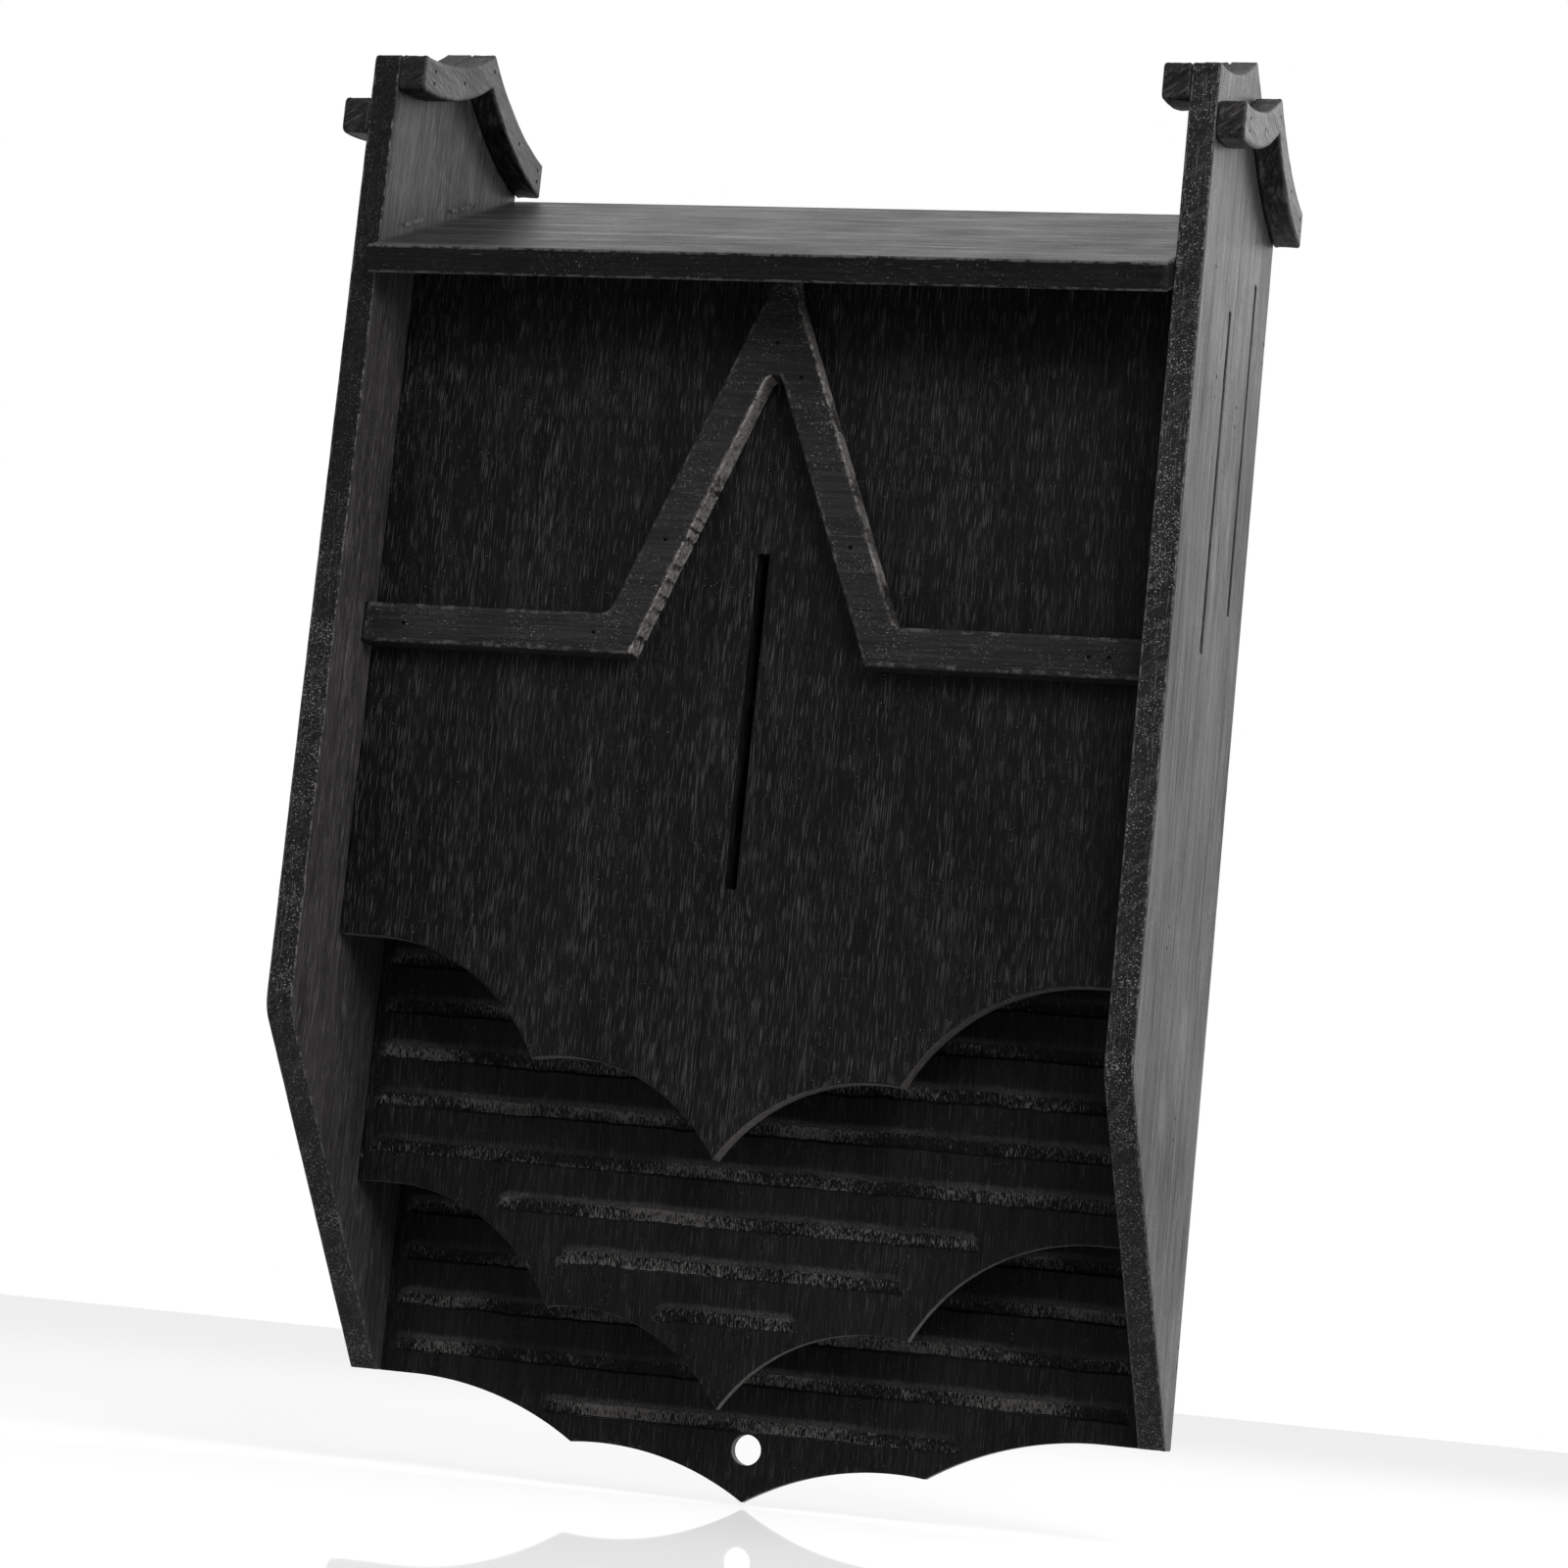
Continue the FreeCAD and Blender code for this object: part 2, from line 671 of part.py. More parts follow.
def front_board():
    edge = size["front_edge_height"]
    low = edge - size["point_drop"] - size["tail_drop"]
    body = hanging_plate("front_board", front_board_rear_y, board, low, roof_underside)
    scallop(body, board, edge, size["point_drop"], size["tail_drop"], size["scallop_radius"],
            shift=size["front_tail_shift"])
    vent = new_sketch(body, "XZ_Plane", "vent")
    half_slot = size["vent_width"] / 2
    vent_x = -size["front_vent_shift"]
    vent_low = size["front_vent_low"]
    rectangle(vent, vent_x - half_slot, vent_x + half_slot, vent_low, vent_low + size["front_vent_length"])
    pocket(body, vent, reverse=True)
    bite = size["trim_brad_length"] + size["brad_set"] - size["chevron_thickness"]
    pocket(body, brad_holes(body, "XZ_Plane", "chevron_holes", chevron_brads, offset=board), depth=bite)
    end_holes(body, frame_brads["front_board_brads"], front_board_rear_y)


def baffle():
    edge = size["baffle_edge_height"]
    low = edge - size["point_drop"] - size["tail_drop"]
    body = hanging_plate("baffle", baffle_rear_y, thin, low, lambda y: baffle_top)
    scallop(body, thin, edge, size["point_drop"], size["tail_drop"], size["scallop_radius"])
    lengths = [size["short_groove_high"], size["short_groove_mid"], size["short_groove_low"]]
    climbing_grooves(body, thin, edge + size["baffle_groove_rise"], baffle_top, lengths)
    end_holes(body, frame_brads["baffle_brads"], baffle_rear_y)


def back():
    low = -size["back_point_drop"] - size["back_tail_drop"]
    top = roof_underside(back_face_y)
    body = hanging_plate("back", ZERO, thin, low, roof_underside)
    scallop(body, thin, ZERO, size["back_point_drop"], size["back_tail_drop"], size["back_scallop_radius"])
    climbing_grooves(body, thin, size["back_groove_rise"], top, [size["back_short_groove"]])
    holes = new_sketch(body, "XZ_Plane", "mounting_holes")
    for height in (-size["low_hole_drop"], top - size["top_hole_drop"]):
        circle(holes, ZERO, height, size["hole_radius"])
    pocket(body, holes, reverse=True)
    end_holes(body, frame_brads["back_brads"])


front_board()
baffle()
back()


# Chevron on the front board: two level arms and two legs that meet under the roof.

def chevron():
    body = new_body("chevron", y=front_board_face_y)
    base = size["chevron_base"]
    inner_foot = (inner_apex - base) / leg_slope
    profile = new_sketch(body, "XZ_Plane", "profile")
    outline(profile, [
        (-half_width, base, None),
        (-half_width, chevron_arm_top, None),
        (-size["chevron_foot"], chevron_arm_top, None),
        (ZERO, chevron_apex, None),
        (size["chevron_foot"], chevron_arm_top, None),
        (half_width, chevron_arm_top, None),
        (half_width, base, None),
        (inner_foot, base, None),
        (ZERO, inner_apex, None),
        (-inner_foot, base, None),
    ])
    plate = pad(body, profile, size["chevron_thickness"])

    def stands_at(edge, x, z):
        middle = edge.CenterOfMass
        return abs(abs(middle.x) - x) < CLOSE and abs(middle.z - z) < CLOSE

    inside = round_edges(body, plate, lambda e: stands_at(e, 0.0, inner_apex.value),
                         size["chevron_inner_round"], "inner_round")
    foot_x = size["chevron_foot"].value
    rounded = round_edges(body, inside, lambda e: stands_at(e, foot_x, chevron_arm_top.value),
                          size["chevron_corner_round"], "corner_rounds")

    def on_front(edge):
        middle = edge.CenterOfMass
        in_front = abs(middle.y + size["chevron_thickness"].value) < CLOSE
        return in_front and abs(middle.x) < half_width.value - CLOSE

    round_edges(body, rounded, on_front, size["edge_round"], "eased_edges")

    # The top is cut to the slope of the roof's underside.
    face = -size["chevron_thickness"]
    above = chevron_apex + size["cut_margin"]
    bevel = new_sketch(body, "YZ_Plane", "roof_bevel")
    outline(bevel, [
        (face, roof_underside(front_board_face_y + face), None),
        (face, above, None),
        (ZERO, above, None),
        (ZERO, roof_underside(front_board_face_y), None),
    ])
    pocket(body, bevel, symmetric=True)
    pocket(body, brad_holes(body, "XZ_Plane", "holes", chevron_brads), reverse=True)


chevron()


# Brads: flat wire cut to length, one group for each joint.

def brad(group, number, centre, length, along_x):
    """One brad whose lower end along its own axis is at centre."""
    x, y, z = centre
    half = size["brad_width"] / 2
    wire = doc.addObject("Part::Box", f"{group}_{number}")
    wire.setExpression("Length", (length if along_x else size["brad_width"]).text)
    wire.setExpression("Width", (size["brad_width"] if along_x else length).text)
    wire.setExpression("Height", size["brad_height"].text)
    wire.setExpression("Placement.Base.x", (x if along_x else x - half).text)
    wire.setExpression("Placement.Base.y", (y - half if along_x else y).text)
    wire.setExpression("Placement.Base.z", (z - size["brad_height"] / 2).text)
    return wire


def brad_group(label, starts, length, along_x):
    wires = [
        brad(label, number, centre, length, along_x)
        for number, centre in enumerate(starts, start=1)
    ]
    group = doc.addObject("Part::Compound", label)
    group.Label = label
    group.Links = wires


def sideways_brads(label, sites, near, length):
    """Brads along X on both sides of the box. near is the distance from the centre line to
    their nearer ends, and sites holds the (depth, height) places of each side."""
    starts = [(-near - length, y, z) for y, z in sites["left"]]
    starts += [(near, y, z) for y, z in sites["right"]]
    brad_group(label, starts, length, along_x=True)


def on_both_sides(sites):
    return {name: sites for name in SIDES}


set_depth = size["brad_set"]
frame_length = size["frame_brad_length"]
wing_length = size["wing_brad_length"]
trim_length = size["trim_brad_length"]
for label, sites in frame_brads.items():
    sideways_brads(label, on_both_sides(sites), half_width + board - set_depth - frame_length, frame_length)
outer_near = half_width + board * 2 - set_depth - wing_length
sideways_brads("outer_wing_brads", outer_wing_brads, outer_near, wing_length)
inner_near = half_width - board + set_depth
sideways_brads("inner_wing_brads", on_both_sides(inner_wing_brads), inner_near, wing_length)
chevron_face_y = front_board_face_y - size["chevron_thickness"]
chevron_starts = [(x, chevron_face_y + set_depth, z) for x, z in chevron_brads]
brad_group("chevron_brads", chevron_starts, trim_length, along_x=False)


# Check every object, then write one file for each piece.

def write_parts():
    doc.recompute()
    for item in doc.Objects:
        if "Invalid" in item.State or "Error" in item.State:
            raise RuntimeError(f"{item.Name} failed: {item.State}")
    os.makedirs("parts", exist_ok=True)
    for item in doc.Objects:
        if item.TypeId not in ("PartDesign::Body", "Part::Compound"):
            continue
        if item.Shape.isNull() or not item.Shape.isValid():
            raise RuntimeError(f"{item.Label} has no valid shape")
        item.Shape.exportStep(f"parts/{item.Label}.step")
        box = item.Shape.BoundBox
        print(f"{item.Label}: {len(item.Shape.Solids)} solids, {item.Shape.Volume:.0f} mm3, "
              f"x {box.XMin:.1f} to {box.XMax:.1f}, y {box.YMin:.1f} to {box.YMax:.1f}, "
              f"z {box.ZMin:.1f} to {box.ZMax:.1f}")


write_parts()
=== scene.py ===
"""Looks of a wall-hung bat box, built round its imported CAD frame."""

import logging
import math
from collections.abc import Callable, Sequence
from dataclasses import dataclass, field, replace
from enum import Enum

import bpy
import numpy as np
from mathutils import Matrix, Vector
from mathutils.geometry import delaunay_2d_cdt


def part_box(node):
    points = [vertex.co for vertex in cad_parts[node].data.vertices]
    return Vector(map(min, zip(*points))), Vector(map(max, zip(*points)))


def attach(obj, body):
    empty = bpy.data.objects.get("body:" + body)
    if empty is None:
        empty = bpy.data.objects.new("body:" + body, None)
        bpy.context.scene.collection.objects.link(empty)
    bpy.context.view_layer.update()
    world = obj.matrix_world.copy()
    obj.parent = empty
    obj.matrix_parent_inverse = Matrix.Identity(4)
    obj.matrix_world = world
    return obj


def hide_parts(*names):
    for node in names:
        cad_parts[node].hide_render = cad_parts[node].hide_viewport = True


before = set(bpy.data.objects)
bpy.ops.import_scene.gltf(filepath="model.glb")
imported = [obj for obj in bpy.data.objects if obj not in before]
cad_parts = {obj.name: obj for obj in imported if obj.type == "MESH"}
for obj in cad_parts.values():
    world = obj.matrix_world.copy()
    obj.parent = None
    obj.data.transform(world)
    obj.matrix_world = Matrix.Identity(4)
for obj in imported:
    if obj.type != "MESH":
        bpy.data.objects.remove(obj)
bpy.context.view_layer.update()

log = logging.getLogger("bat_box")

MM = 0.001
BODY = "root"
NOISE_CELLS = 128
EASE_TURNS = (30, 60, 90)
GRID_GAP = 0.45 * MM
ROW_GAP = 0.25 * MM
HOLE_WEAR = 0.3
BRAD_SPAN = 1.8 * MM
# Painted shade: black for the pits between torn fibres and the shadow line under a groove's lip.
PAINTED_SHADE_BLACK = (0.0012, 0.0012, 0.0012)
WHITE = (1.0, 1.0, 1.0, 1.0)

Rgb = tuple[float, float, float]
Points = np.ndarray
Numbers = np.ndarray


class Grain(Enum):
    """The axis of the object that a piece's grain follows."""

    ACROSS = 0
    DEPTH = 1
    UPRIGHT = 2


class Bulge(Enum):
    """The side of an edge on which its arc lies, seen along the way it is drawn."""

    LEFT = 1
    RIGHT = -1


class Side(Enum):
    """The left or right hand side of the box, seen from the front."""

    LEFT = -1
    RIGHT = 1

    @property
    def word(self) -> str:
        """The side's name as the frame's nodes spell it."""
        return self.name.lower()


# Noise for the meshes.


def smooth(share: Numbers) -> Numbers:
    """An eased ramp from 0 to 1, flat beyond both ends."""
    held = np.clip(share, 0.0, 1.0)
    return held * held * (3.0 - 2.0 * held)


def ripple(across: Numbers, up: Numbers, seed: int) -> Numbers:
    """Smooth noise from -1 to 1 whose features are one unit apart.

    Args:
        across: First coordinates, in units of the features.
        up: Second coordinates, of the same shape.
        seed: Picks the pattern.

    Returns:
        The noise at each place.
    """
    table = np.random.default_rng(seed).uniform(-1.0, 1.0, (NOISE_CELLS, NOISE_CELLS))
    across, up = np.broadcast_arrays(np.asarray(across, float), np.asarray(up, float))
    column, row = np.floor(across).astype(int), np.floor(up).astype(int)
    right, above = smooth(across - column), smooth(up - row)

    def level(line: Numbers) -> Numbers:
        """The noise along one line of the table."""
        left = table[line % NOISE_CELLS, column % NOISE_CELLS]
        return left * (1 - right) + table[line % NOISE_CELLS, (column + 1) % NOISE_CELLS] * right

    return level(row) * (1 - above) + level(row + 1) * above


@dataclass(frozen=True)
class RaisedGrain:
    """Ridges left on a face where the soft wood between the rings has sunk."""

    pitch: float = 1.1 * MM
    reach: float = 45.0 * MM
    height: float = 0.09 * MM
    swell: float = 0.12 * MM
    swell_pitch: float = 7
    swell_reach: float = 2
    along_up: bool = True
    seed: int = 1

    def drop(self, across: Numbers, up: Numbers) -> Numbers:
        """How far the face lies below its highest level at each place.

        Args:
            across: Places across the face.
            up: Places up the face.

        Returns:
            The depths.
        """
        side, way = (across, up) if self.along_up else (up, across)
        fine = ripple(side / self.pitch, way / self.reach, self.seed)
        swell_pitch, swell_reach = self.pitch * self.swell_pitch, self.reach * self.swell_reach
        wide = ripple(side / swell_pitch, way / swell_reach, self.seed + 1)
        return self.height * (0.5 + 0.5 * fine) + self.swell * (0.5 + 0.5 * wide)


@dataclass(frozen=True)
class SawMarks:
    """Slanting ridges left by a coarse saw."""

    pitch: float = 1.5 * MM
    depth: float = 0.13 * MM
    slant: float = 52.0
    reach: float = 12
    seed: int = 3

    def drop(self, across: Numbers, up: Numbers) -> Numbers:
        """How far the face lies below its highest level at each place.

        Args:
            across: Places across the face.
            up: Places up the face.

        Returns:
            The depths.
        """
        turn = math.radians(self.slant)
        over = across * math.sin(turn) - up * math.cos(turn)
        along = across * math.cos(turn) + up * math.sin(turn)
        tooth = ripple(over / self.pitch, along / (self.pitch * self.reach), self.seed)
        return self.depth * (0.5 + 0.5 * tooth)


Relief = RaisedGrain | SawMarks


# Outlines.


@dataclass
class Outline:
    """A closed outline drawn edge by edge, in metres, with points no further apart than step."""

    step: float = 1.6 * MM
    points: list[tuple[float, float]] = field(default_factory=list)

    def start(self, across: float, up: float) -> "Outline":
        """Begin at a corner."""
        self.points = [(across, up)]
        return self

    def line(self, across: float, up: float) -> "Outline":
        """Draw a straight edge to the next corner.

        Args:
            across: Where the edge ends.
            up: Where the edge ends.

        Returns:
            The outline, to go on drawing.
        """
        here = np.array(self.points[-1])
        there = np.array((across, up))
        count = max(1, math.ceil(float(np.linalg.norm(there - here)) / self.step))
        self.points += [tuple(here + (there - here) * k / count) for k in range(1, count + 1)]
        return self

    def arc(self, across: float, up: float, radius: float, bulge: Bulge) -> "Outline":
        """Draw an arc to the next corner.

        Args:
            across: Where the arc ends.
            up: Where the arc ends.
            radius: The arc's radius.
            bulge: The side of the chord on which it lies.

        Returns:
            The outline, to go on drawing.
        """
        here, there = np.array(self.points[-1]), np.array((across, up))
        chord = there - here
        half = float(np.linalg.norm(chord)) / 2
        left = np.array((-chord[1], chord[0])) / (2 * half)
        centre = (here + there) / 2 - left * bulge.value * math.sqrt(radius**2 - half**2)
        first = math.atan2(*(here - centre)[::-1])
        sweep = -bulge.value * 2 * math.asin(half / radius)
        count = max(2, math.ceil(abs(sweep) * radius / self.step))
        turns = first + sweep * np.arange(1, count + 1) / count
        self.points += [(centre[0] + radius * math.cos(a), centre[1] + radius * math.sin(a)) for a in turns]
        return self

    def round_corner(self, across: float, up: float, radius: float, leave: Points) -> "Outline":
        """Draw to a corner, round it and stand ready to leave towards another place.

        Args:
            across: Where the sharp corner would be.
            up: Where the sharp corner would be.
            radius: The rounding.
            leave: The place that the outline heads for after the corner.

        Returns:
            The outline, to go on drawing.
        """
        corner = np.array((across, up))
        back = np.array(self.points[-1]) - corner
        ahead = np.asarray(leave, float) - corner
        back, ahead = back / np.linalg.norm(back), ahead / np.linalg.norm(ahead)
        half = math.acos(float(np.clip(back @ ahead, -1, 1))) / 2
        reach = radius / math.tan(half)
        turn = back[0] * ahead[1] - back[1] * ahead[0]
        self.line(*(corner + back * reach))
        return self.arc(*(corner + ahead * reach), radius, Bulge.RIGHT if turn < 0 else Bulge.LEFT)

    def closed(self) -> Points:
        """The outline's points, anticlockwise, with none said twice."""
        loop = np.array(self.points)
        if np.linalg.norm(loop[0] - loop[-1]) < 1e-7:
            loop = loop[:-1]
        return turned(loop, anticlockwise=True)


def turned(loop: Points, anticlockwise: bool) -> Points:
    """The loop's points in the asked order."""
    after = np.roll(loop, -1, axis=0)
    area = float(np.sum(loop[:, 0] * after[:, 1] - after[:, 0] * loop[:, 1]))
    return loop if (area > 0) == anticlockwise else loop[::-1]


def slot(across: float, low: float, high: float, width: float, step: float) -> Points:
    """A narrow upright slot, as a hole's loop."""
    left, right = across - width / 2, across + width / 2
    outline = Outline(step).start(left, low).line(right, low).line(right, high)
    return turned(outline.line(left, high).line(left, low).closed(), anticlockwise=False)


def drilled(across: float, up: float, radius: float, count: int) -> Points:
    """A round hole's loop."""
    turns = np.linspace(0, 2 * math.pi, count, endpoint=False)
    loop = np.stack((across + radius * np.cos(turns), up + radius * np.sin(turns)), axis=1)
    return turned(loop, anticlockwise=False)


def miters(loop: Points) -> Points:
    """For each corner of a loop, the step that moves it one unit into the wood.

    Args:
        loop: The loop, with the wood on the left of the way it is drawn.

    Returns:
        One step for each point.
    """
    edge = np.roll(loop, -1, axis=0) - loop
    inward = np.stack((-edge[:, 1], edge[:, 0]), axis=1) / np.linalg.norm(edge, axis=1)[:, None]
    before = np.roll(inward, 1, axis=0)
    share = 1.0 + np.sum(before * inward, axis=1)
    return (before + inward) / np.maximum(share, 0.35)[:, None]


def walked(loop: Points) -> Numbers:
    """The way walked round a loop up to each of its points."""
    return np.cumsum(np.linalg.norm(np.roll(loop, -1, axis=0) - loop, axis=1))


def inside(points: Points, loop: Points) -> Numbers:
    """Which points lie inside a loop.

    Args:
        points: The points.
        loop: The loop.

    Returns:
        True for those inside.
    """
    found = np.zeros(len(points), bool)
    after = np.roll(loop, -1, axis=0)
    for (x0, y0), (x1, y1) in zip(loop, after):
        if y0 == y1:
            continue
        spans = (points[:, 1] > min(y0, y1)) & (points[:, 1] <= max(y0, y1))
        crossing = x0 + (points[:, 1] - y0) * (x1 - x0) / (y1 - y0)
        found ^= spans & (points[:, 0] < crossing)
    return found


def in_wood(points: Points, loops: Sequence[Points]) -> Numbers:
    """Which points lie inside the first loop and in no hole.

    Args:
        points: The points.
        loops: A board's outline and its holes.

    Returns:
        True for those in the wood.
    """
    found = inside(points, loops[0])
    for loop in loops[1:]:
        found &= ~inside(points, loop)
    return found


def distance(points: Points, loops: Sequence[Points]) -> Numbers:
    """How far each point is from the nearest loop.

    Args:
        points: The points.
        loops: The loops.

    Returns:
        The distances.
    """
    nearest = np.full(len(points), 1.0)
    for loop in loops:
        after = np.roll(loop, -1, axis=0)
        for start, way in zip(loop, after - loop):
            share = np.clip(((points - start) @ way) / (way @ way), 0, 1)
            gap = points - start - share[:, None] * way
            np.minimum(nearest, np.einsum("ij,ij->i", gap, gap), out=nearest)
    return np.sqrt(nearest)


# Boards.


@dataclass(frozen=True)
class Plane:
    """Where a board's face lies. Across, up and out are at right angles and right-handed."""

    origin: Vector
    across: Vector
    up: Vector
    out: Vector

    def place(self, flat: Points, out: Numbers) -> Points:
        """Places in the object's frame of points on, above or below the face."""
        axes = np.array((self.across, self.up, self.out))
        return np.array(self.origin) + np.column_stack((flat, out)) @ axes


def facing_right(x: float) -> Plane:
    """The plane of a face that looks to the right, with depth across."""
    return Plane(Vector((x, 0, 0)), Vector((0, 1, 0)), Vector((0, 0, 1)), Vector((1, 0, 0)))


def facing_front(y: float) -> Plane:
    """The plane of a face that looks to the front."""
    return Plane(Vector((0, y, 0)), Vector((1, 0, 0)), Vector((0, 0, 1)), Vector((0, -1, 0)))


@dataclass
class Extra:
    """Points laid on a face besides its even grid, such as those of a groove."""

    flat: Points = field(default_factory=lambda: np.zeros((0, 2)))
    drop: Numbers = field(default_factory=lambda: np.zeros(0))
    torn: Numbers = field(default_factory=lambda: np.zeros(0))
    edges: list[tuple[int, int]] = field(default_factory=list)

    def add(self, flat: Points, drop: Numbers, torn: Numbers, joined: bool) -> None:
        """Add a row of points.

        Args:
            flat: The points.
            drop: How far each lies below the face.
            torn: How torn the wood is at each: 1 on a groove's floor, more where the lip gets a painted
                shadow line, near 0.4 where a rim of dust and painted light goes.
            joined: Whether edges have to follow the row.
        """
        first = len(self.flat)
        self.flat = np.vstack((self.flat, flat))
        self.drop = np.concatenate((self.drop, drop))
        self.torn = np.concatenate((self.torn, torn))
        if joined:
            self.edges += [(first + k, first + k + 1) for k in range(len(flat) - 1)]


@dataclass
class Face:
    """One face of a board: its points, triangles, and where each loop's points are in it."""

    flat: Points
    drop: Numbers
    torn: Numbers
    triangles: Numbers
    loops: list[Numbers]


@dataclass
class Board:
    """A flat board with eased edges, worn corners, raised grain and holes, as one closed mesh.

    Attributes:
        rim: Radius of the eased edge, and hole_rim that of the holes.
        grid: Spacing of the even grid across and up.
        front: The ridges on the front face, and back those on the rear one.
        bare: Tells which points of the grid are left out, because other rows lie there.
        shift: Moves the points of each level, as where an end follows a slope.
        raw_and_lit: How bare the wood is at each point of the outer edge, with painted light where that edge
            faces the lamps and painted shade in the chisel's steps.
        bite: How far the outer edge is cut in at each point.
        pale_holes: Whether the holes show sawn wood too.
        ragged: How uneven the sawn edge is.
        worn_reach: How far the wear of the rim fades into the faces.
    """

    name: str
    plane: Plane
    outer: Points
    thickness: float
    holes: list[Points] = field(default_factory=list)
    rim: float = 1.1 * MM
    hole_rim: float = 0.15 * MM
    grid: tuple[float, float] = (1.1 * MM, 7.0 * MM)
    front: Relief = RaisedGrain()
    back: Relief | None = None
    extra: Extra = field(default_factory=Extra)
    bare: Callable[[Points], Numbers] | None = None
    shift: Callable[[Points, Numbers], Points] | None = None
    raw_and_lit: Callable[[Points, Points], Numbers] | None = None
    bite: Callable[[Points, Points], Numbers] | None = None
    pale_holes: bool = False
    wall_rings: int = 4
    ragged: float = 0.10 * MM
    ragged_size: tuple[float, float] = (1.3 * MM, 2.5 * MM)
    worn_reach: float = 0.3 * MM
    fade: float = 1.5 * MM
    rim_spread: float = 0.45
    rim_wave: float = 6 * MM
    seed: int = 11

    def loops(self) -> list[Points]:
        """The board's outline and its holes."""
        return [self.outer, *self.holes]

    def rims(self) -> list[Numbers]:
        """The eased edge's radius along each loop."""
        found = []
        for number, loop in enumerate(self.loops()):
            radius, spread = (self.hole_rim, 0.0) if number else (self.rim, self.rim_spread)
            line = np.full(len(loop), number)
            uneven = 0.5 + 0.5 * ripple(walked(loop) / self.rim_wave, line, self.seed + 5)
            found.append(radius * (1 + spread * uneven))
        return found

    def insets(self) -> list[Points]:
        """The loops where the flat part of each face ends."""
        return [loop + miters(loop) * rim[:, None] for loop, rim in zip(self.loops(), self.rims())]

    def lattice(self, loops: Sequence[Points]) -> Points:
        """The even grid's points that lie well inside the loops.

        Args:
            loops: The loops where the flat part ends.

        Returns:
            The points.
        """
        rng = np.random.default_rng(self.seed)
        low, high = self.outer.min(axis=0), self.outer.max(axis=0)
        lines = []
        for axis, pitch in enumerate(self.grid):
            steps = rng.uniform(0.75, 1.25, int((high[axis] - low[axis]) / pitch) + 2) * pitch
            places = low[axis] + np.cumsum(steps)
            lines.append(places[places < high[axis]])
        across, up = np.meshgrid(*lines)
        flat = np.column_stack((across.ravel(), up.ravel()))
        flat = flat[in_wood(flat, loops)]
        if self.bare is not None:
            flat = flat[~self.bare(flat)]
        return flat[distance(flat, loops) > GRID_GAP]

    def face(self, relief: Relief | None, with_extra: bool) -> Face:
        """Fill one face with triangles.

        Args:
            relief: The ridges on it, or None for a plain face.
            with_extra: Whether it carries the extra points.

        Returns:
            The face.
        """
        loops = self.insets()
        grid = self.lattice(loops) if relief is not None else np.zeros((0, 2))
        extra = self.extra if with_extra else Extra()
        kept = in_wood(extra.flat, loops) & (distance(extra.flat, loops) > ROW_GAP)
        order = np.cumsum(kept) - 1
        spots = np.vstack((*loops, extra.flat[kept], grid))
        starts = np.cumsum([0, *(len(loop) for loop in loops)])
        edges = [
            (start + k, start + (k + 1) % len(loop))
            for start, loop in zip(starts, loops)
            for k in range(len(loop))
        ]
        edges += [
            (starts[-1] + int(order[a]), starts[-1] + int(order[b]))
            for a, b in extra.edges
            if kept[a] and kept[b]
        ]
        made = delaunay_2d_cdt([Vector(p) for p in spots / MM], edges, [], 1, 1e-6)
        flat = np.array([tuple(p) for p in made[0]]) * MM
        home = np.full(len(spots), -1)
        drop, torn = np.zeros(len(flat)), np.zeros(len(flat))
        given_drop = np.concatenate((np.zeros(starts[-1]), extra.drop[kept], np.zeros(len(grid))))
        given_torn = np.concatenate((np.zeros(starts[-1]), extra.torn[kept], np.zeros(len(grid))))
        for new, olds in enumerate(made[3]):
            for old in olds:
                home[old] = new
                drop[new], torn[new] = given_drop[old], given_torn[old]
        triangles = np.array(made[2])
        middle = flat[triangles].mean(axis=1)
        if relief is not None:
            eased = smooth(distance(flat, loops) / self.fade)
            drop = drop + relief.drop(flat[:, 0], flat[:, 1]) * eased
        homes = [home[a:b] for a, b in zip(starts, starts[1:])]
        return Face(flat, drop, torn, triangles[in_wood(middle, loops)], homes)

    def rings(self, loop: Points, rim: Numbers) -> list[tuple[Points, Numbers, float]]:
        """The rings of points down a loop's wall, without those of the two faces.

        Returns:
            For each ring its flat points, its depths and how worn it is.
        """
        inward = miters(loop)

        def eased(turn: int) -> tuple[Points, Numbers]:
            """The loop and its depth so many degrees round the eased edge."""
            ease = math.radians(turn)
            return loop + inward * (rim * (1 - math.sin(ease)))[:, None], rim * (1 - math.cos(ease))

        made = [(*eased(turn), 1.0) for turn in EASE_TURNS]
        bitten = self.bite(loop, -inward) if self.bite is not None and loop is self.outer else 0.0
        length, height = self.ragged_size
        for share in (0.03, *(k / (self.wall_rings + 1) for k in range(1, self.wall_rings + 1)), 0.97):
            depth = rim + (self.thickness - 2 * rim) * share
            rough = self.ragged * (0.5 + 0.5 * ripple(walked(loop) / length, depth / height, self.seed + 7))
            rough = (rough + bitten) * min(1.0, 6 * share, 6 * (1 - share))
            made.append((loop + inward * rough[:, None], depth, 0.0))
        for turn in reversed(EASE_TURNS):
            flat, depth = eased(turn)
            made.append((flat, self.thickness - depth, 1.0))
        return made

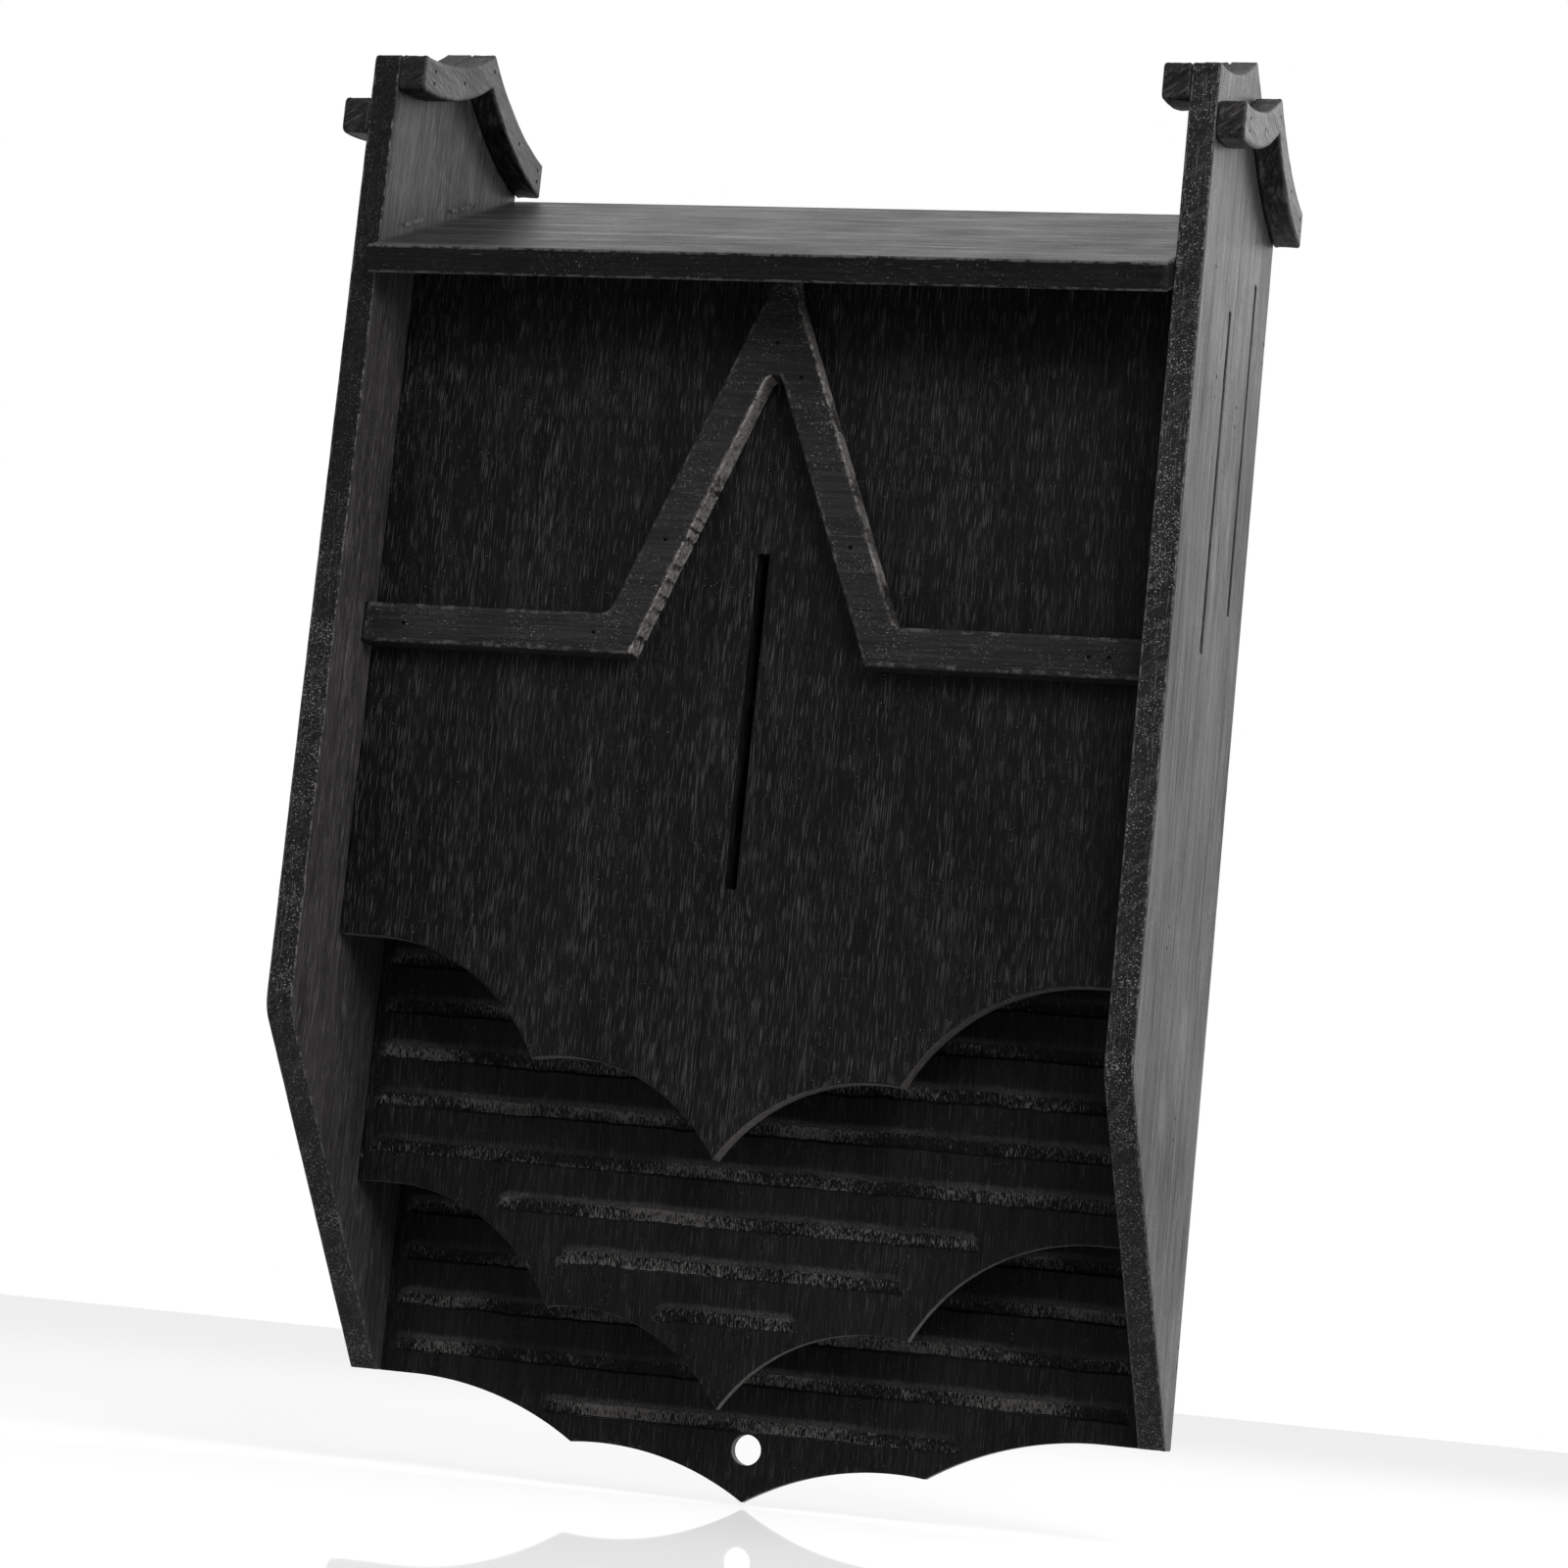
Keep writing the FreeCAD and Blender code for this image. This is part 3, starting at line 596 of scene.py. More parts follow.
    def build(
        self, finish: bpy.types.Material, edges: bpy.types.Material, rear: bpy.types.Material | None = None
    ) -> bpy.types.Object:
        """Make the board's object.

        Args:
            finish: The material of its front face, and of its back where that has none of its own.
            edges: The material of its sawn edges.
            rear: The material of its back face.

        Returns:
            The object, at the origin, with its place in its mesh.
        """
        front = self.face(self.front, with_extra=True)
        back = self.face(self.back, with_extra=False)
        flats, outs, wear, torn, raw_and_lit = [], [], [], [], []
        quads: list[tuple[int, int, int, int]] = []
        sawn: list[bool] = []
        border = self.insets()[:1]
        for face, sign, level in ((front, -1, 0.0), (back, 1, -self.thickness)):
            gap = distance(face.flat, border)
            flats.append(face.flat)
            outs.append(level + sign * face.drop)
            wear.append(np.exp(-gap / self.worn_reach))
            torn.append(face.torn)
            raw_and_lit.append(np.zeros(len(face.flat)))
        count = len(front.flat) + len(back.flat)
        for number, (loop, rim) in enumerate(zip(self.loops(), self.rims())):
            above = front.loops[number]
            rings = self.rings(loop, rim)
            # Along the outer edge: bare wood, with painted light and shade, where the piece asks for them.
            bare = np.zeros(len(loop))
            if self.raw_and_lit is not None and loop is self.outer:
                bare = self.raw_and_lit(loop, -miters(loop))
            for step, (flat, depth, worn) in enumerate(rings):
                below = np.arange(count, count + len(loop))
                count += len(loop)
                flats.append(flat)
                outs.append(-depth)
                wear.append(np.full(len(loop), HOLE_WEAR if number else worn))
                torn.append(np.zeros(len(loop)))
                raw_and_lit.append(bare)
                quads += join_rings(above, below)
                sawn += [1 < step < len(rings) - 1 and (number == 0 or self.pale_holes)] * len(loop)
                above = below
            quads += join_rings(above, back.loops[number] + len(front.flat))
            sawn += [False] * len(loop)
        flat, out = np.vstack(flats), np.concatenate(outs)
        if self.shift is not None:
            flat = self.shift(flat, out)
        faces = [tuple(t) for t in front.triangles.tolist()]
        faces += [tuple(t[::-1]) for t in (back.triangles + len(front.flat)).tolist()]
        mesh = bpy.data.meshes.new(self.name)
        mesh.from_pydata(self.plane.place(flat, out).tolist(), [], faces + quads)
        for label, values in (("wear", wear), ("torn", torn), ("raw_and_lit", raw_and_lit)):
            keep_values(mesh, label, np.concatenate(values))
        mesh.polygons.foreach_set("use_smooth", np.ones(len(mesh.polygons), bool))
        for material in (finish, edges, rear or finish):
            mesh.materials.append(material)
        sides = np.repeat((0, 2), (len(front.triangles), len(back.triangles)))
        slots = np.concatenate((sides, sawn)).astype(np.int32)
        mesh.polygons.foreach_set("material_index", slots)
        mesh.validate()
        return add_object(self.name, mesh)


def join_rings(above: Numbers, below: Numbers) -> list[tuple[int, int, int, int]]:
    """Four-sided faces between two rings of the same number of points."""
    a, b = above.tolist(), below.tolist()
    return [(a[k - 1], b[k - 1], b[k], a[k]) for k in range(len(a))]


def keep_values(mesh: bpy.types.Mesh, label: str, values: Numbers) -> None:
    """Keep one value for each point of a mesh, for its finish to read."""
    layer = mesh.attributes.new(label, "FLOAT", "POINT")
    layer.data.foreach_set("value", values.astype(np.float32))


def add_object(name: str, data: bpy.types.ID) -> bpy.types.Object:
    """Put a mesh, a lamp or a camera into the scene, at the origin."""
    made = bpy.data.objects.new(name, data)
    bpy.context.scene.collection.objects.link(made)
    return made


def settle(piece: bpy.types.Object, slot_name: str, *nodes: str) -> None:
    """Let a finished piece ride with the box and stand for its CAD nodes.

    Args:
        piece: The piece.
        slot_name: Not used.
        nodes: The nodes that it stands for.
    """
    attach(piece, BODY)
    if nodes:
        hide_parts(*nodes)
    stands_for = ", ".join(nodes) or "nothing"
    log.info("%s: %d faces, stands for %s", piece.name, len(piece.data.polygons), stands_for)


# Materials.


class NodeGraph:
    """Builds a material's nodes from left to right."""

    def __init__(self, name: str) -> None:
        """Start an empty material of that name."""
        self.material = bpy.data.materials.new(name)
        self.material.use_nodes = True
        self.tree = self.material.node_tree
        self.tree.nodes.clear()

    def node(self, kind: str, **settings: object) -> bpy.types.Node:
        """Add a node and set its own properties.

        Args:
            kind: The node's kind.
            settings: Its own properties, by name.

        Returns:
            The node.
        """
        made = self.tree.nodes.new(kind)
        for name, value in settings.items():
            setattr(made, name, value)
        return made

    def feed(self, socket: bpy.types.NodeSocket, value: object) -> None:
        """Link a socket to another one, or set it to a number or colour.

        Args:
            socket: The input.
            value: A socket, a number or a colour.
        """
        if isinstance(value, bpy.types.NodeSocket):
            self.tree.links.new(value, socket)
        elif isinstance(value, tuple) and len(value) == 3 and socket.type == "RGBA":
            socket.default_value = (*value, 1.0)
        else:
            socket.default_value = value

    def place(self) -> bpy.types.NodeSocket:
        """Coordinates in the object's own frame."""
        return self.node("ShaderNodeTexCoord").outputs["Object"]

    def mapped(
        self, place: bpy.types.NodeSocket, scale: Rgb, turn: Rgb = (0, 0, 0), move: Rgb = (0, 0, 0)
    ) -> bpy.types.NodeSocket:
        """Coordinates moved, turned and scaled.

        Args:
            place: The coordinates.
            scale: The scale along each axis.
            turn: The turns, in radians.
            move: The move.

        Returns:
            The new coordinates.
        """
        made = self.node("ShaderNodeMapping")
        self.feed(made.inputs["Vector"], place)
        made.inputs["Scale"].default_value = scale
        made.inputs["Rotation"].default_value = turn
        made.inputs["Location"].default_value = move
        return made.outputs["Vector"]

    def noise(
        self,
        place: bpy.types.NodeSocket,
        scale: Rgb,
        move: Rgb = (0, 0, 0),
        detail: float = 2.0,
        rough: float = 0.5,
        warp: float = 0.0,
    ) -> bpy.types.NodeSocket:
        """Noise from 0 to 1.

        Args:
            place: Coordinates in the object's frame.
            scale: Features to a metre along each axis.
            move: Picks another part of the pattern.
            detail: How many finer layers it has.
            rough: How strong those layers are.
            warp: How far the pattern is bent.

        Returns:
            The noise.
        """
        made = self.node("ShaderNodeTexNoise")
        self.feed(made.inputs["Vector"], self.mapped(place, scale, move=move))
        for name, value in (("Scale", 1.0), ("Detail", detail), ("Roughness", rough), ("Distortion", warp)):
            made.inputs[name].default_value = value
        return made.outputs["Fac"]

    def sum(self, first: object, second: object, kind: str = "ADD") -> bpy.types.NodeSocket:
        """Two values added, or combined in another way.

        Args:
            first: One value.
            second: The other.
            kind: How they are combined.

        Returns:
            The result.
        """
        made = self.node("ShaderNodeMath", operation=kind)
        self.feed(made.inputs[0], first)
        self.feed(made.inputs[1], second)
        return made.outputs[0]

    def times(self, first: object, second: object) -> bpy.types.NodeSocket:
        """Two values multiplied."""
        return self.sum(first, second, "MULTIPLY")

    def weighted(self, *parts: tuple[object, float]) -> bpy.types.NodeSocket:
        """Values added up in their order.

        Args:
            parts: Each value with its weight.

        Returns:
            The total.
        """
        total = self.times(*parts[0])
        for value, weight in parts[1:]:
            total = self.sum(total, self.times(value, weight))
        return total

    def spread(
        self, value: object, low: float, high: float, to_low: float = 0.0, to_high: float = 1.0
    ) -> bpy.types.NodeSocket:
        """A value eased from one range to another and held at its ends.

        Args:
            value: The value.
            low: Where the first range starts. It may lie above high.
            high: Where the first range ends.
            to_low: What low becomes.
            to_high: What high becomes.

        Returns:
            The eased value.
        """
        made = self.node("ShaderNodeMapRange", interpolation_type="SMOOTHSTEP")
        for name, item in (
            ("Value", value), ("From Min", low), ("From Max", high), ("To Min", to_low), ("To Max", to_high),
        ):
            self.feed(made.inputs[name], item)
        return made.outputs["Result"]

    def mix(self, share: object, first: object, second: object) -> bpy.types.NodeSocket:
        """A colour between two.

        Args:
            share: How much of the second one shows.
            first: One colour.
            second: The other.

        Returns:
            The colour.
        """
        made = self.node("ShaderNodeMix", data_type="RGBA")
        self.feed(made.inputs[0], share)
        self.feed(made.inputs[6], first)
        self.feed(made.inputs[7], second)
        return made.outputs[2]

    def layer(self, name: str) -> bpy.types.NodeSocket:
        """A value kept on the mesh."""
        made = self.node("ShaderNodeAttribute", attribute_type="GEOMETRY", attribute_name=name)
        return made.outputs["Fac"]

    def bump(self, height: bpy.types.NodeSocket, depth: float) -> bpy.types.NodeSocket:
        """Fine relief from a height between 0 and 1, at that depth in metres.

        Args:
            height: The height.
            depth: The depth, in metres.

        Returns:
            The surface's direction.
        """
        made = self.node("ShaderNodeBump")
        made.inputs["Strength"].default_value = 1.0
        made.inputs["Distance"].default_value = depth
        self.feed(made.inputs["Height"], height)
        return made.outputs["Normal"]

    def surface(
        self, colour: object, rough: object, normal: bpy.types.NodeSocket, gloss: float, metal: float = 0.0
    ) -> bpy.types.Material:
        """Finish the material with its surface.

        Args:
            colour: Its colour.
            rough: Its roughness.
            normal: Its fine relief.
            gloss: Its specular level.
            metal: How metallic it is.

        Returns:
            The material.
        """
        shader = self.node("ShaderNodeBsdfPrincipled")
        self.feed(shader.inputs["Base Color"], colour)
        self.feed(shader.inputs["Roughness"], rough)
        shader.inputs["Specular IOR Level"].default_value = gloss
        shader.inputs["Metallic"].default_value = metal
        self.feed(shader.inputs["Normal"], normal)
        output = self.node("ShaderNodeOutputMaterial")
        self.tree.links.new(shader.outputs[0], output.inputs["Surface"])
        return self.material


def dimmed(colour: Rgb, share: float) -> Rgb:
    """A colour at that share of its brightness."""
    return tuple(share * value for value in colour)


@dataclass(frozen=True)
class Knot:
    """A small knot: rings of grain and a paler patch round one place of a face."""

    across: float
    up: float
    width: float = 9.0 * MM
    height: float = 15.0 * MM
    strength: float = 0.5
    pale: float = 0.0


@dataclass(frozen=True)
class StainedWood:
    """Softwood under black stain, with the grain, flecks and wear of one piece's faces or edges.

    Attributes:
        deep: The stain where it lies thick, and thin where the grain shows through it.
        streak: The pale threads along the grain, and streaks how many there are.
        fibre: The torn fibres on a groove's floor, also used for their painted glints and for the painted
            light in the rim above a groove.
        fleck: The dust in the pores, and flecks how much there is.
        worn: The wood at rubbed edges, and wear how far they are rubbed.
        bare: The wood where the mesh says that the stain is off, shown with painted light on edges that face
            the lamps.
        fuzz: How far raised fibres have lost their stain.
        lines: How strong the dark lines of the rings are.
        bands: How strong the broad bands of the grain are.
        sawn: How strong the saw marks are, saw_pitch apart and turned by saw_turn.
        rough: The roughness of the thin stain and of the thick one.
        depth: Depth of the fine relief.
        dark_from: The height from which the piece is darker, or 0.
    """

    name: str
    grain: Grain = Grain.UPRIGHT
    deep: Rgb = (0.0022, 0.0021, 0.0023)
    thin: Rgb = (0.0080, 0.0075, 0.0078)
    streak: Rgb = (0.082, 0.078, 0.076)
    streaks: float = 0.5
    fibre: Rgb = (0.125, 0.120, 0.116)
    fleck: Rgb = (0.17, 0.162, 0.155)
    flecks: float = 0.4
    worn: Rgb = (0.090, 0.084, 0.079)
    wear: float = 0.5
    bare: Rgb | None = None
    fuzz: float = 0.0
    lines: float = 0.0
    bands: float = 0.0
    sawn: float = 0.0
    saw_pitch: float = 1.1 * MM
    saw_turn: Rgb = (math.radians(21.0), math.radians(33.0), 0.0)
    rough: tuple[float, float] = (0.40, 0.60)
    gloss: float = 0.06
    depth: float = 0.10 * MM
    dark_from: float = 0.0
    knots: tuple[Knot, ...] = ()
    knot_face: Grain = Grain.ACROSS
    knot_pale: Rgb = (0.150, 0.145, 0.141)

    def stretched(self, across: float, along: float) -> Rgb:
        """Features to a metre: many across the grain, few along it."""
        scale = [across] * 3
        scale[self.grain.value] = along
        return tuple(scale)

    def knotted(
        self, graph: NodeGraph, place: bpy.types.NodeSocket, colour: object, fine: object
    ) -> bpy.types.NodeSocket:
        """Lay pale patches and lines that bend round them over a colour.

        Args:
            graph: The material that is being built.
            place: Coordinates in the object's frame.
            colour: The colour so far.
            fine: Noise of the fine grain, which breaks the patches up.

        Returns:
            The colour with the knots.
        """
        uneven = graph.noise(place, self.stretched(170.0, 60.0))
        for knot in self.knots:
            scale, move = [0.0, 0.0, 1 / knot.height], [0.0, 0.0, -knot.up / knot.height]
            scale[self.knot_face.value] = 1 / knot.width
            move[self.knot_face.value] = -knot.across / knot.width
            length = graph.node("ShaderNodeVectorMath", operation="LENGTH")
            graph.feed(length.inputs[0], graph.mapped(place, tuple(scale), move=tuple(move)))
            far = graph.sum(length.outputs["Value"], graph.times(graph.sum(uneven, -0.5), 1.2))
            wave = graph.sum(graph.sum(graph.times(far, 21.0), graph.times(uneven, 3.0)), 0.0, "SINE")
            line = graph.times(graph.spread(wave, 0.35, 1.0), graph.spread(far, 0.20, 1.2, 1.0, 0.0))
            colour = graph.mix(graph.times(line, knot.strength), colour, self.streak)
            if knot.pale:
                patch = graph.spread(far, 0.20, 1.1, knot.pale, 0.0)
                patch = graph.times(patch, graph.spread(fine, 0.38, 0.56))
                colour = graph.mix(patch, colour, self.knot_pale)
        return colour

    def bared_and_lit(self, graph: NodeGraph, colour: object, uneven: object) -> bpy.types.NodeSocket:
        """Lay bare wood over a colour where the saw or chisel has left it, with painted light and shade where
        the mesh marks edges that face the lamps.

        Args:
            graph: The material that is being built.
            colour: The colour so far.
            uneven: Noise that the bare wood's tone and border follow.

        Returns:
            The colour with the bare wood and its painted light and shade.
        """
        wood = graph.mix(graph.spread(uneven, 0.60, 0.92), dimmed(self.bare, 0.40), self.bare)
        share = graph.sum(graph.layer("raw_and_lit"), graph.times(graph.sum(uneven, -0.75), 1.3))
        return graph.mix(graph.times(graph.spread(share, 0.28, 0.80), 0.95), colour, wood)

    def sawed(
        self, graph: NodeGraph, place: bpy.types.NodeSocket, colour: object, height: object
    ) -> tuple[bpy.types.NodeSocket, bpy.types.NodeSocket]:
        """Lay slanting saw marks over a colour and its relief.

        Args:
            graph: The material that is being built.
            place: Coordinates in the object's frame.
            colour: The colour so far.
            height: The relief so far.

        Returns:
            The colour and the relief with the marks.
        """
        along, over = 0.12 / self.saw_pitch, 1 / self.saw_pitch
        turned_place = graph.mapped(place, (1, 1, 1), turn=self.saw_turn)
        hatch = graph.noise(turned_place, (along, along, over), detail=3, rough=0.6)
        ridge, score = graph.spread(hatch, 0.52, 0.66), graph.spread(hatch, 0.43, 0.33)
        colour = graph.mix(graph.times(ridge, 0.50 * self.sawn), colour, self.worn)
        colour = graph.mix(graph.times(score, 0.75 * self.sawn), colour, self.deep)
        return colour, graph.sum(height, graph.times(graph.spread(hatch, 0.3, 0.7), 1.6 * self.sawn))

    def grained(
        self, graph: NodeGraph, place: bpy.types.NodeSocket, colour: object, fine: object, mottle: object
    ) -> tuple[bpy.types.NodeSocket, bpy.types.NodeSocket]:
        """Lay bands, pale threads and dark lines along the grain.

        Args:
            graph: The material that is being built.
            place: Coordinates in the object's frame.
            colour: The colour so far.
            fine: Noise of the fine grain.
            mottle: Noise of the pores.

        Returns:
            The colour with the grain, and its relief.
        """
        if self.bands:
            wave = graph.noise(place, self.stretched(150.0, 9.0), move=(2.0, 6.0, 1.0), detail=4, warp=0.8)
            colour = graph.mix(graph.times(graph.spread(wave, 0.50, 0.66), self.bands), colour, self.streak)
            colour = graph.mix(graph.times(graph.spread(wave, 0.46, 0.36), self.bands), colour, self.deep)
        threads = graph.noise(place, self.stretched(3500.0, 125.0), detail=1)
        crowd = graph.noise(place, self.stretched(130.0, 26.0), move=(3.1, 1.7, 0.4))
        level = graph.sum(threads, graph.times(crowd, 0.22))
        colour = graph.mix(graph.spread(level, 0.49, 0.42, 0.0, 0.75), colour, self.deep)
        edge = 0.875 - 0.14 * self.streaks
        streak = graph.spread(level, edge - 0.02, edge + 0.045)
        colour = graph.mix(streak, colour, self.streak)
        height = graph.weighted((fine, 0.6), (mottle, 0.3), (streak, 0.35))
        if self.lines:
            line = graph.noise(place, self.stretched(1300.0, 6.0), move=(7.0, 1.0, 2.0))
            colour = graph.mix(graph.spread(line, 0.44, 0.32, 0.0, self.lines), colour, self.deep)
            height = graph.sum(height, graph.times(line, self.lines))
        return colour, height

    def dusty(
        self, graph: NodeGraph, place: bpy.types.NodeSocket, colour: object, height: object, patch: object
    ) -> tuple[bpy.types.NodeSocket, bpy.types.NodeSocket]:
        """Lay flecks of dust and raised fibres over a colour and its relief.

        Args:
            graph: The material that is being built.
            place: Coordinates in the object's frame.
            colour: The colour so far.
            height: The relief so far.
            patch: Noise that crowds the dust.

        Returns:
            The colour and the relief with them.
        """
        dust = graph.noise(place, (1900.0,) * 3, move=(2.0, 9.0, 4.0), detail=1)
        crumb = graph.sum(dust, graph.times(patch, 0.25))
        speck = graph.spread(crumb, 0.93 - 0.12 * self.flecks, 0.96 - 0.12 * self.flecks)
        colour = graph.mix(speck, colour, self.fleck)
        if self.fuzz:
            scale = self.stretched(1300.0, 330.0)
            pores = graph.noise(place, scale, move=(1.0, 4.0, 2.0), detail=3, rough=0.75)
            colour = graph.mix(graph.times(graph.spread(pores, 0.45, 0.70), self.fuzz), colour, self.worn)
            height = graph.sum(height, graph.times(pores, 1.2))
        return colour, height

    def torn_open_and_shaded(
        self, graph: NodeGraph, place: bpy.types.NodeSocket, colour: object, height: object, mottle: object
    ) -> tuple[bpy.types.NodeSocket, bpy.types.NodeSocket]:
        """Tear the wood open where the mesh says so: pale fibres with painted glints over pits of painted
        shade, a painted shadow line under the lip, and a rim above that is partly dust and partly painted
        light.

        Args:
            graph: The material that is being built.
            place: Coordinates in the object's frame.
            colour: The colour so far.
            height: The relief so far.
            mottle: Noise of the pores.

        Returns:
            The colour and the relief with the torn wood and its painted light and shade.
        """
        torn = graph.layer("torn")
        fibre = graph.noise(place, (2100.0, 2100.0, 400.0), rough=0.6)
        # Painted light and shade: broad patches that brighten or darken the grooves along their length.
        lit = graph.noise(place, (24.0, 24.0, 70.0), move=(1.0, 8.0, 3.0))
        # The rim above each groove: partly dust and rubbed stain, partly a painted halo of light, stronger
        # where the painted light patches are bright.
        rim = graph.times(graph.spread(torn, 0.02, 0.35), graph.spread(torn, 0.45, 0.8, 1.0, 0.0))
        rim = graph.times(rim, graph.spread(lit, 0.38, 0.58, 0.10, 0.42))
        colour = graph.mix(graph.times(rim, graph.spread(mottle, 0.25, 0.70)), colour, self.fibre)
        floor = graph.spread(torn, 0.35, 0.9)
        # Painted shade in the pits between the torn fibres.
        pit_shade = graph.times(floor, graph.spread(fibre, 0.54, 0.44))
        # Pale torn fibres, with painted glints where the painted light patches are bright.
        pale = graph.times(floor, graph.spread(graph.sum(fibre, graph.times(lit, 0.9)), 0.95, 1.07))
        colour = graph.mix(graph.times(pit_shade, 0.9), colour, PAINTED_SHADE_BLACK)
        colour = graph.mix(graph.times(pale, 0.95), colour, self.fibre)
        # A painted shadow line under the groove's lower lip.
        colour = graph.mix(graph.spread(torn, 1.06, 1.22, 0.0, 0.95), colour, PAINTED_SHADE_BLACK)
        return colour, graph.sum(height, graph.times(floor, graph.times(fibre, 4.5)))

    def build(self) -> bpy.types.Material:
        """Make the material, layer by layer.

        Returns:
            The material.
        """
        graph = NodeGraph(self.name)
        place = graph.place()
        fine = graph.noise(place, self.stretched(2900.0, 70.0), detail=3, rough=0.65)
        brushed = graph.noise(place, self.stretched(750.0, 42.0), move=(4.0, 4.0, 6.0), detail=3)
        band = graph.noise(place, self.stretched(260.0, 7.0), detail=3, warp=0.3)
        cloud = graph.noise(place, (24.0, 24.0, 15.0), detail=3, rough=0.6)
        mottle = graph.noise(place, (1900.0,) * 3, rough=0.7)
        patch = graph.noise(place, (75.0,) * 3, move=(5.0, 2.0, 7.0))
        speckled = graph.times(graph.sum(mottle, -0.5), graph.spread(patch, 0.42, 0.60))
        tone = graph.weighted((band, 0.18), (cloud, 0.24), (fine, 0.30), (brushed, 0.28), (speckled, 0.50))
        colour = graph.mix(graph.spread(tone, 0.39, 0.63), self.deep, self.thin)

        colour, height = self.grained(graph, place, colour, fine, mottle)
        if self.knots:
            colour = self.knotted(graph, place, colour, fine)
        colour, height = self.dusty(graph, place, colour, height, patch)
        if self.sawn:
            colour, height = self.sawed(graph, place, colour, height)
        colour, height = self.torn_open_and_shaded(graph, place, colour, height, mottle)
        if self.dark_from:
            split = graph.node("ShaderNodeSeparateXYZ")
            graph.feed(split.inputs[0], place)
            share = graph.spread(split.outputs["Z"], self.dark_from, self.dark_from + 120 * MM, 0.0, 0.75)
            colour = graph.mix(share, colour, dimmed(self.deep, 0.4))
        if self.bare:
            colour = self.bared_and_lit(graph, colour, graph.sum(brushed, graph.times(mottle, 0.5)))

        rub = graph.noise(place, (300.0,) * 3, move=(8.0, 3.0, 1.0), detail=4, rough=0.7)
        low = 0.66 - 0.28 * self.wear
        worn = graph.times(graph.spread(graph.layer("wear"), 0.45, 0.95), graph.spread(rub, low, low + 0.16))
        colour = graph.mix(graph.times(worn, 0.9), colour, self.worn)
        shine = graph.spread(tone, 0.32, 0.66, self.rough[1], self.rough[0])
        shine = graph.sum(shine, graph.times(worn, 0.12))
        return graph.surface(colour, shine, graph.bump(height, self.depth), gloss=self.gloss)


@dataclass(frozen=True)
class BradWire:
    """Flat steel wire under the same stain."""

    name: str = "stained_brad_wire"
    steel: Rgb = (0.006, 0.0058, 0.0060)
    stain: Rgb = (0.0009, 0.0009, 0.0009)

    def build(self) -> bpy.types.Material:
        """Make the material.

        Returns:
            The material.
        """
        graph = NodeGraph(self.name)
        place = graph.place()
        patch = graph.noise(place, (900.0,) * 3)
        drawn = graph.noise(place, (300.0, 300.0, 2500.0), detail=1)
        colour = graph.mix(graph.spread(patch, 0.44, 0.62), self.stain, self.steel)
        rough = graph.spread(patch, 0.3, 0.7, 0.42, 0.65)
        return graph.surface(colour, rough, graph.bump(drawn, 0.03 * MM), gloss=0.1, metal=0.3)


# The box.


@dataclass(frozen=True)
class BoxSizes:
    """Sizes that several pieces share, in metres."""

    half_width: float = 130.0 * MM
    board: float = 9.0 * MM
    thin: float = 5.0 * MM
    front_y: float = -117.0 * MM
    bend_z: float = 110.0 * MM
    bend_radius: float = 12.0 * MM
    toe: float = 9.3 * MM
    peak_y: float = -56.0 * MM
    peak_z: float = 442.2 * MM
    crest_front_z: float = 422.0 * MM
    crest_rear_z: float = 421.0 * MM
    crest_sag: float = 4.0 * MM
    wing_band: float = 12.0 * MM
    wing_slip: float = 2.4 * MM
    roof_rear_z: float = 407.8 * MM
    roof_slope: float = 22.4
    roof_overhang: float = 10.8 * MM
    roof_blend: float = 12 * MM
    front_board_y: float = -85.0 * MM
    baffle_y: float = -45.0 * MM
    brad_hole: tuple[float, float] = (1.3 * MM, 1.1 * MM)

    def roof_top(self, y: float) -> float:
        """Height of the roof's upper face."""
        return self.roof_rear_z + y * math.tan(math.radians(self.roof_slope))

    def roof_underside(self, y: float) -> float:
        """Height of the roof's lower face."""
        return self.roof_top(y) - self.board / math.cos(math.radians(self.roof_slope))

    def sag_radius(self, run: float, rise: float) -> float:
        """Radius of an arc that hangs by the crest's sag under its chord."""
        return (run**2 + rise**2) / (8 * self.crest_sag) + self.crest_sag / 2

    def crest_tangent(self, drop: float) -> Points:
        """A place that the crest heads for from its front corner, at that drop."""
        drawn = Outline(1.0 * MM).start(self.front_y, self.crest_front_z - drop)
        drawn.arc(self.peak_y, self.peak_z - drop, self.crest_radii[0], Bulge.RIGHT)
        return np.array(drawn.points[3])

    @property
    def crest_radii(self) -> tuple[float, float]:
        """Radii of the crest's front and rear arcs."""
        front = self.sag_radius(self.peak_y - self.front_y, self.peak_z - self.crest_front_z)
        rear = self.sag_radius(self.peak_y, self.peak_z - self.crest_rear_z)
        return front, rear

    def under_roof(self, top: float) -> Callable[[Points, Numbers], Points]:
        """Lets the top end of an upright board follow the roof's slope.

        Args:
            top: Height of the top end on the board's front face.

        Returns:
            What moves the board's points, from their flat places and how far out they lie.
        """
        slope = math.tan(math.radians(self.roof_slope))

        def lift(flat: Points, out: Numbers) -> Points:
            """Raise the rear of the top end."""
            share = smooth((flat[:, 1] - (top - self.roof_blend)) / self.roof_blend)
            rise = -out * slope * share
            return np.column_stack((flat[:, 0], flat[:, 1] + rise))

        return lift

    def brad_slots(self, sites: Sequence[tuple[float, float]]) -> list[Points]:
        """Loops of the brads' holes at those places of a face."""
        width, height = self.brad_hole
        return [slot(a, u - height / 2, u + height / 2, width, 1.0) for a, u in sites]


SIZES = BoxSizes()


